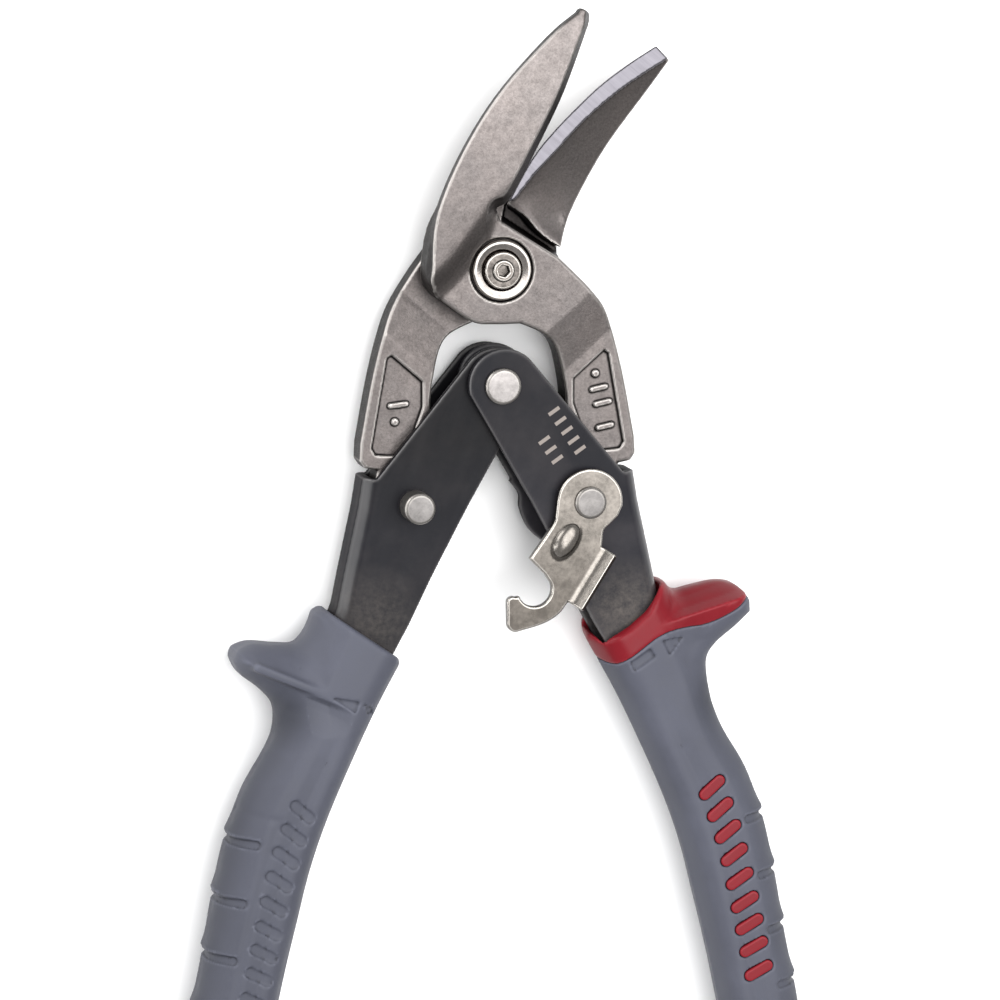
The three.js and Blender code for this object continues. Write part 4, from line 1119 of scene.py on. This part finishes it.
def left_grip():
    axes, x, y, h = space((14.4, -198, -GRIP_HALF - 0.8), (71.4, -63.6, GRIP_HALF + 0.8), GRIP_STEP)
    front = h > 0
    face = np.abs(h) - GRIP_HALF
    tip, root = (50.6, -77.7), (31.4, -86.2)
    falls = (0, 0.5, 1.5, 2.6), (0, 0.9, 1.6, 2.6)
    body = grip_field((x, y, h), LEFT_GUARD_TOP + LEFT_GUARD_LOW, (tip, root), falls, 0.2, 5.5)
    # A raised spine runs along the guard onto the grip, and the face under it is scooped out.
    below = -beside(x, y, (tip, root))
    scoop = 1.3 * unit((below - 0.4) / 1.4) * unit((8.5 - below) / 5) * unit((x - 31) / 5)
    body = np.maximum(body, face + scoop)
    heading = math.atan2(tip[1] - root[1], tip[0] - root[0])
    spine = bar(x, y, lerp(tip, root, 0.5), math.dist(tip, root) + 1.6, 1.8, heading)
    body = np.maximum(join(body, meet(spine, face + 0.1, 0.7), 0.8), face)
    body = sink(body, finger_slots(x, y), SKIN_DEPTH, True)
    body = sink(body, marks(x, y, 0.41), 0.4, front)
    wedge = [(35.9, -84.2), (30.0, -85.4), (30.8, -87.8)]
    for shape in (wedge, [(28.8, -86.4), (27.2, -86.8), (26.6, -88.6), (28.3, -88.2)]):
        body = sink(body, outline(shape, x, y), SKIN_DEPTH, front)
    seam = smooth([(46.4, -109), (48.2, -115), (50, -121), (53, -131), (54.8, -139), (57, -150), (59.4, -165),
                   (60.6, -180)])
    from_seam = outline(seam + [(90, -190), (90, -100)], x, y)
    groove = 0.2 * np.exp(-((from_seam / 0.8) ** 2)) * (from_seam > -30)
    body = body + np.where(front, groove, 0).astype(np.float32)
    body = open_mouth(body, x, y, h, LEFT_REACH, LEFT_RIM, LEFT_RIM)
    add_field("left_grip_moulding", "left_grip", body, axes, GREY, shaded, mirror=True)


def right_grip():
    axes, x, y, h = space((14.4, -198, -GRIP_HALF - 0.8), (71.4, -62.8, GRIP_HALF + 0.8), GRIP_STEP)
    front = h > 0
    ridge = ((50.9, -67.6), (32.7, -72.6))
    falls = (0, 2.5, 4.3, 4.6), (0, 0.3, 0.8, 1.6)
    body = grip_field((x, y, h), RIGHT_GUARD_TOP + RIGHT_GUARD_LOW, ridge, falls, 0.27, 4.2)
    shell = sink(body, finger_slots(x, y), SKIN_DEPTH, True)
    full = open_mouth(shell, x, y, h, RIGHT_REACH, RIGHT_RIM, RIGHT_RIM_FRONT)
    red_side = outline(GREY_SIDE, x, y)
    collar = meet(full, red_side, 0.2)
    grey = meet(full, 0.04 - red_side, 0.2)
    wedge = [(32.6, -75.7), (37.4, -75.3), (34.1, -78.9)]
    for shape in (wedge, [(26, -79.9), (30.1, -77.2), (31.3, -79), (26.8, -82)]):
        grey = sink(grey, outline(shape, x, y), SKIN_DEPTH, front)
    grey = cut(grey, np.maximum(marks(x, y, 0.5, 0.15), -(shell + 1.2)) + np.where(front, 0, 9))
    add_field("right_grip_moulding", "right_grip", grey, axes, GREY, shaded)

    def thumb_rest(x, y, h):
        # Painted shade in the dish of the thumb rest.
        above = beside(x, y, ridge)
        return {"shade": 0.12 * unit((above - 0.2) / 1.2) * unit((5 - above) / 2) * unit((x - 36) / 3)}

    add_field("right_grip_collar_moulding", "right_grip_collar", collar, axes, RED, thumb_rest)
    room, top, thick = 4.4, SHEAR + GRIP_HALF - 0.05, 1.8
    for i, (centre, turn) in enumerate(mark_places(0.5), 1):
        low = np.array((centre[0] - room, centre[1] - room, SHEAR + GRIP_HALF - 3.4))
        local = grid(low, low + (2 * room, 2 * room, 4.0), 0.14)
        x, y, z = local
        piece = meet(bar(x, y, centre, MARK_HEIGHT, MARK_WIDTH, turn), z - top, 0.35)
        piece = meet(piece, top - thick - z, 0.1)
        add_field(f"right_grip_mark_{i}", f"right_grip_inlay_{i}", piece, local, RED)


left_grip()
right_grip()

# ---- stage, light and camera


def add_object(name, data):
    made = bpy.data.objects.new(name, data)
    bpy.context.scene.collection.objects.link(made)
    return made


def add_floor():
    half, tone, rough = 3.0, 0.92, 0.6
    look = Look("pale_floor", toned=False)
    colour = look.ramp(look.noise(3, 3), (0.3, 0.985 * tone), (0.7, tone))
    mesh = bpy.data.meshes.new("floor")
    corners = [(-half, -half, 0), (half, -half, 0), (half, half, 0), (-half, half, 0)]
    mesh.from_pydata(corners, [], [(0, 1, 2, 3)])
    mesh.materials.append(look.finish(colour, rough))
    add_object("floor", mesh)


def add_softbox(name, place, size, watts, aim=(0, -0.04, 0)):
    light = bpy.data.lights.new(name, "AREA")
    light.shape = "RECTANGLE"
    light.size, light.size_y = size
    light.energy = watts
    lamp = add_object(name, light)
    lamp.location = place
    lamp.rotation_euler = (Vector(aim) - Vector(place)).to_track_quat("-Z", "Y").to_euler()


def add_camera():
    """Long lens, from above, a little to the left and past the blade tips."""
    right = np.array((0.970, 0, 0.243))
    up = np.array((0.0377, 0.9876, -0.1504))
    back = np.cross(right, up)
    seen_width, distance = 0.2, 1.1
    aim = np.array((0, 0, SHEAR * MM)) + right * 0.00114 - up * 0.04668
    data = bpy.data.cameras.new("camera")
    data.lens = data.sensor_width * distance / seen_width
    data.clip_start, data.clip_end = 0.05, 20
    back /= np.linalg.norm(back)
    camera = add_object("camera", data)
    rows = [[*row, at] for row, at in zip(np.array([right, up, back]).T, aim + back * distance)]
    camera.matrix_world = Matrix(rows + [[0, 0, 0, 1]])
    bpy.context.scene.camera = camera


add_floor()
add_softbox("overhead", (0.22, 0.12, 0.95), (1.0, 1.0), 17.0)
add_softbox("key", (-0.8, 0.55, 0.4), (0.6, 0.6), 6.0)
add_softbox("left_strip", (-1.15, -0.15, 0.34), (0.25, 1.4), 6.0)
add_camera()

world = bpy.data.worlds.new("studio")
world.use_nodes = True
background = world.node_tree.nodes["Background"].inputs
background["Color"].default_value = (1, 1, 1, 1)
background["Strength"].default_value = 0.7
bpy.context.scene.world = world
bpy.context.scene.view_settings.view_transform = "Standard"
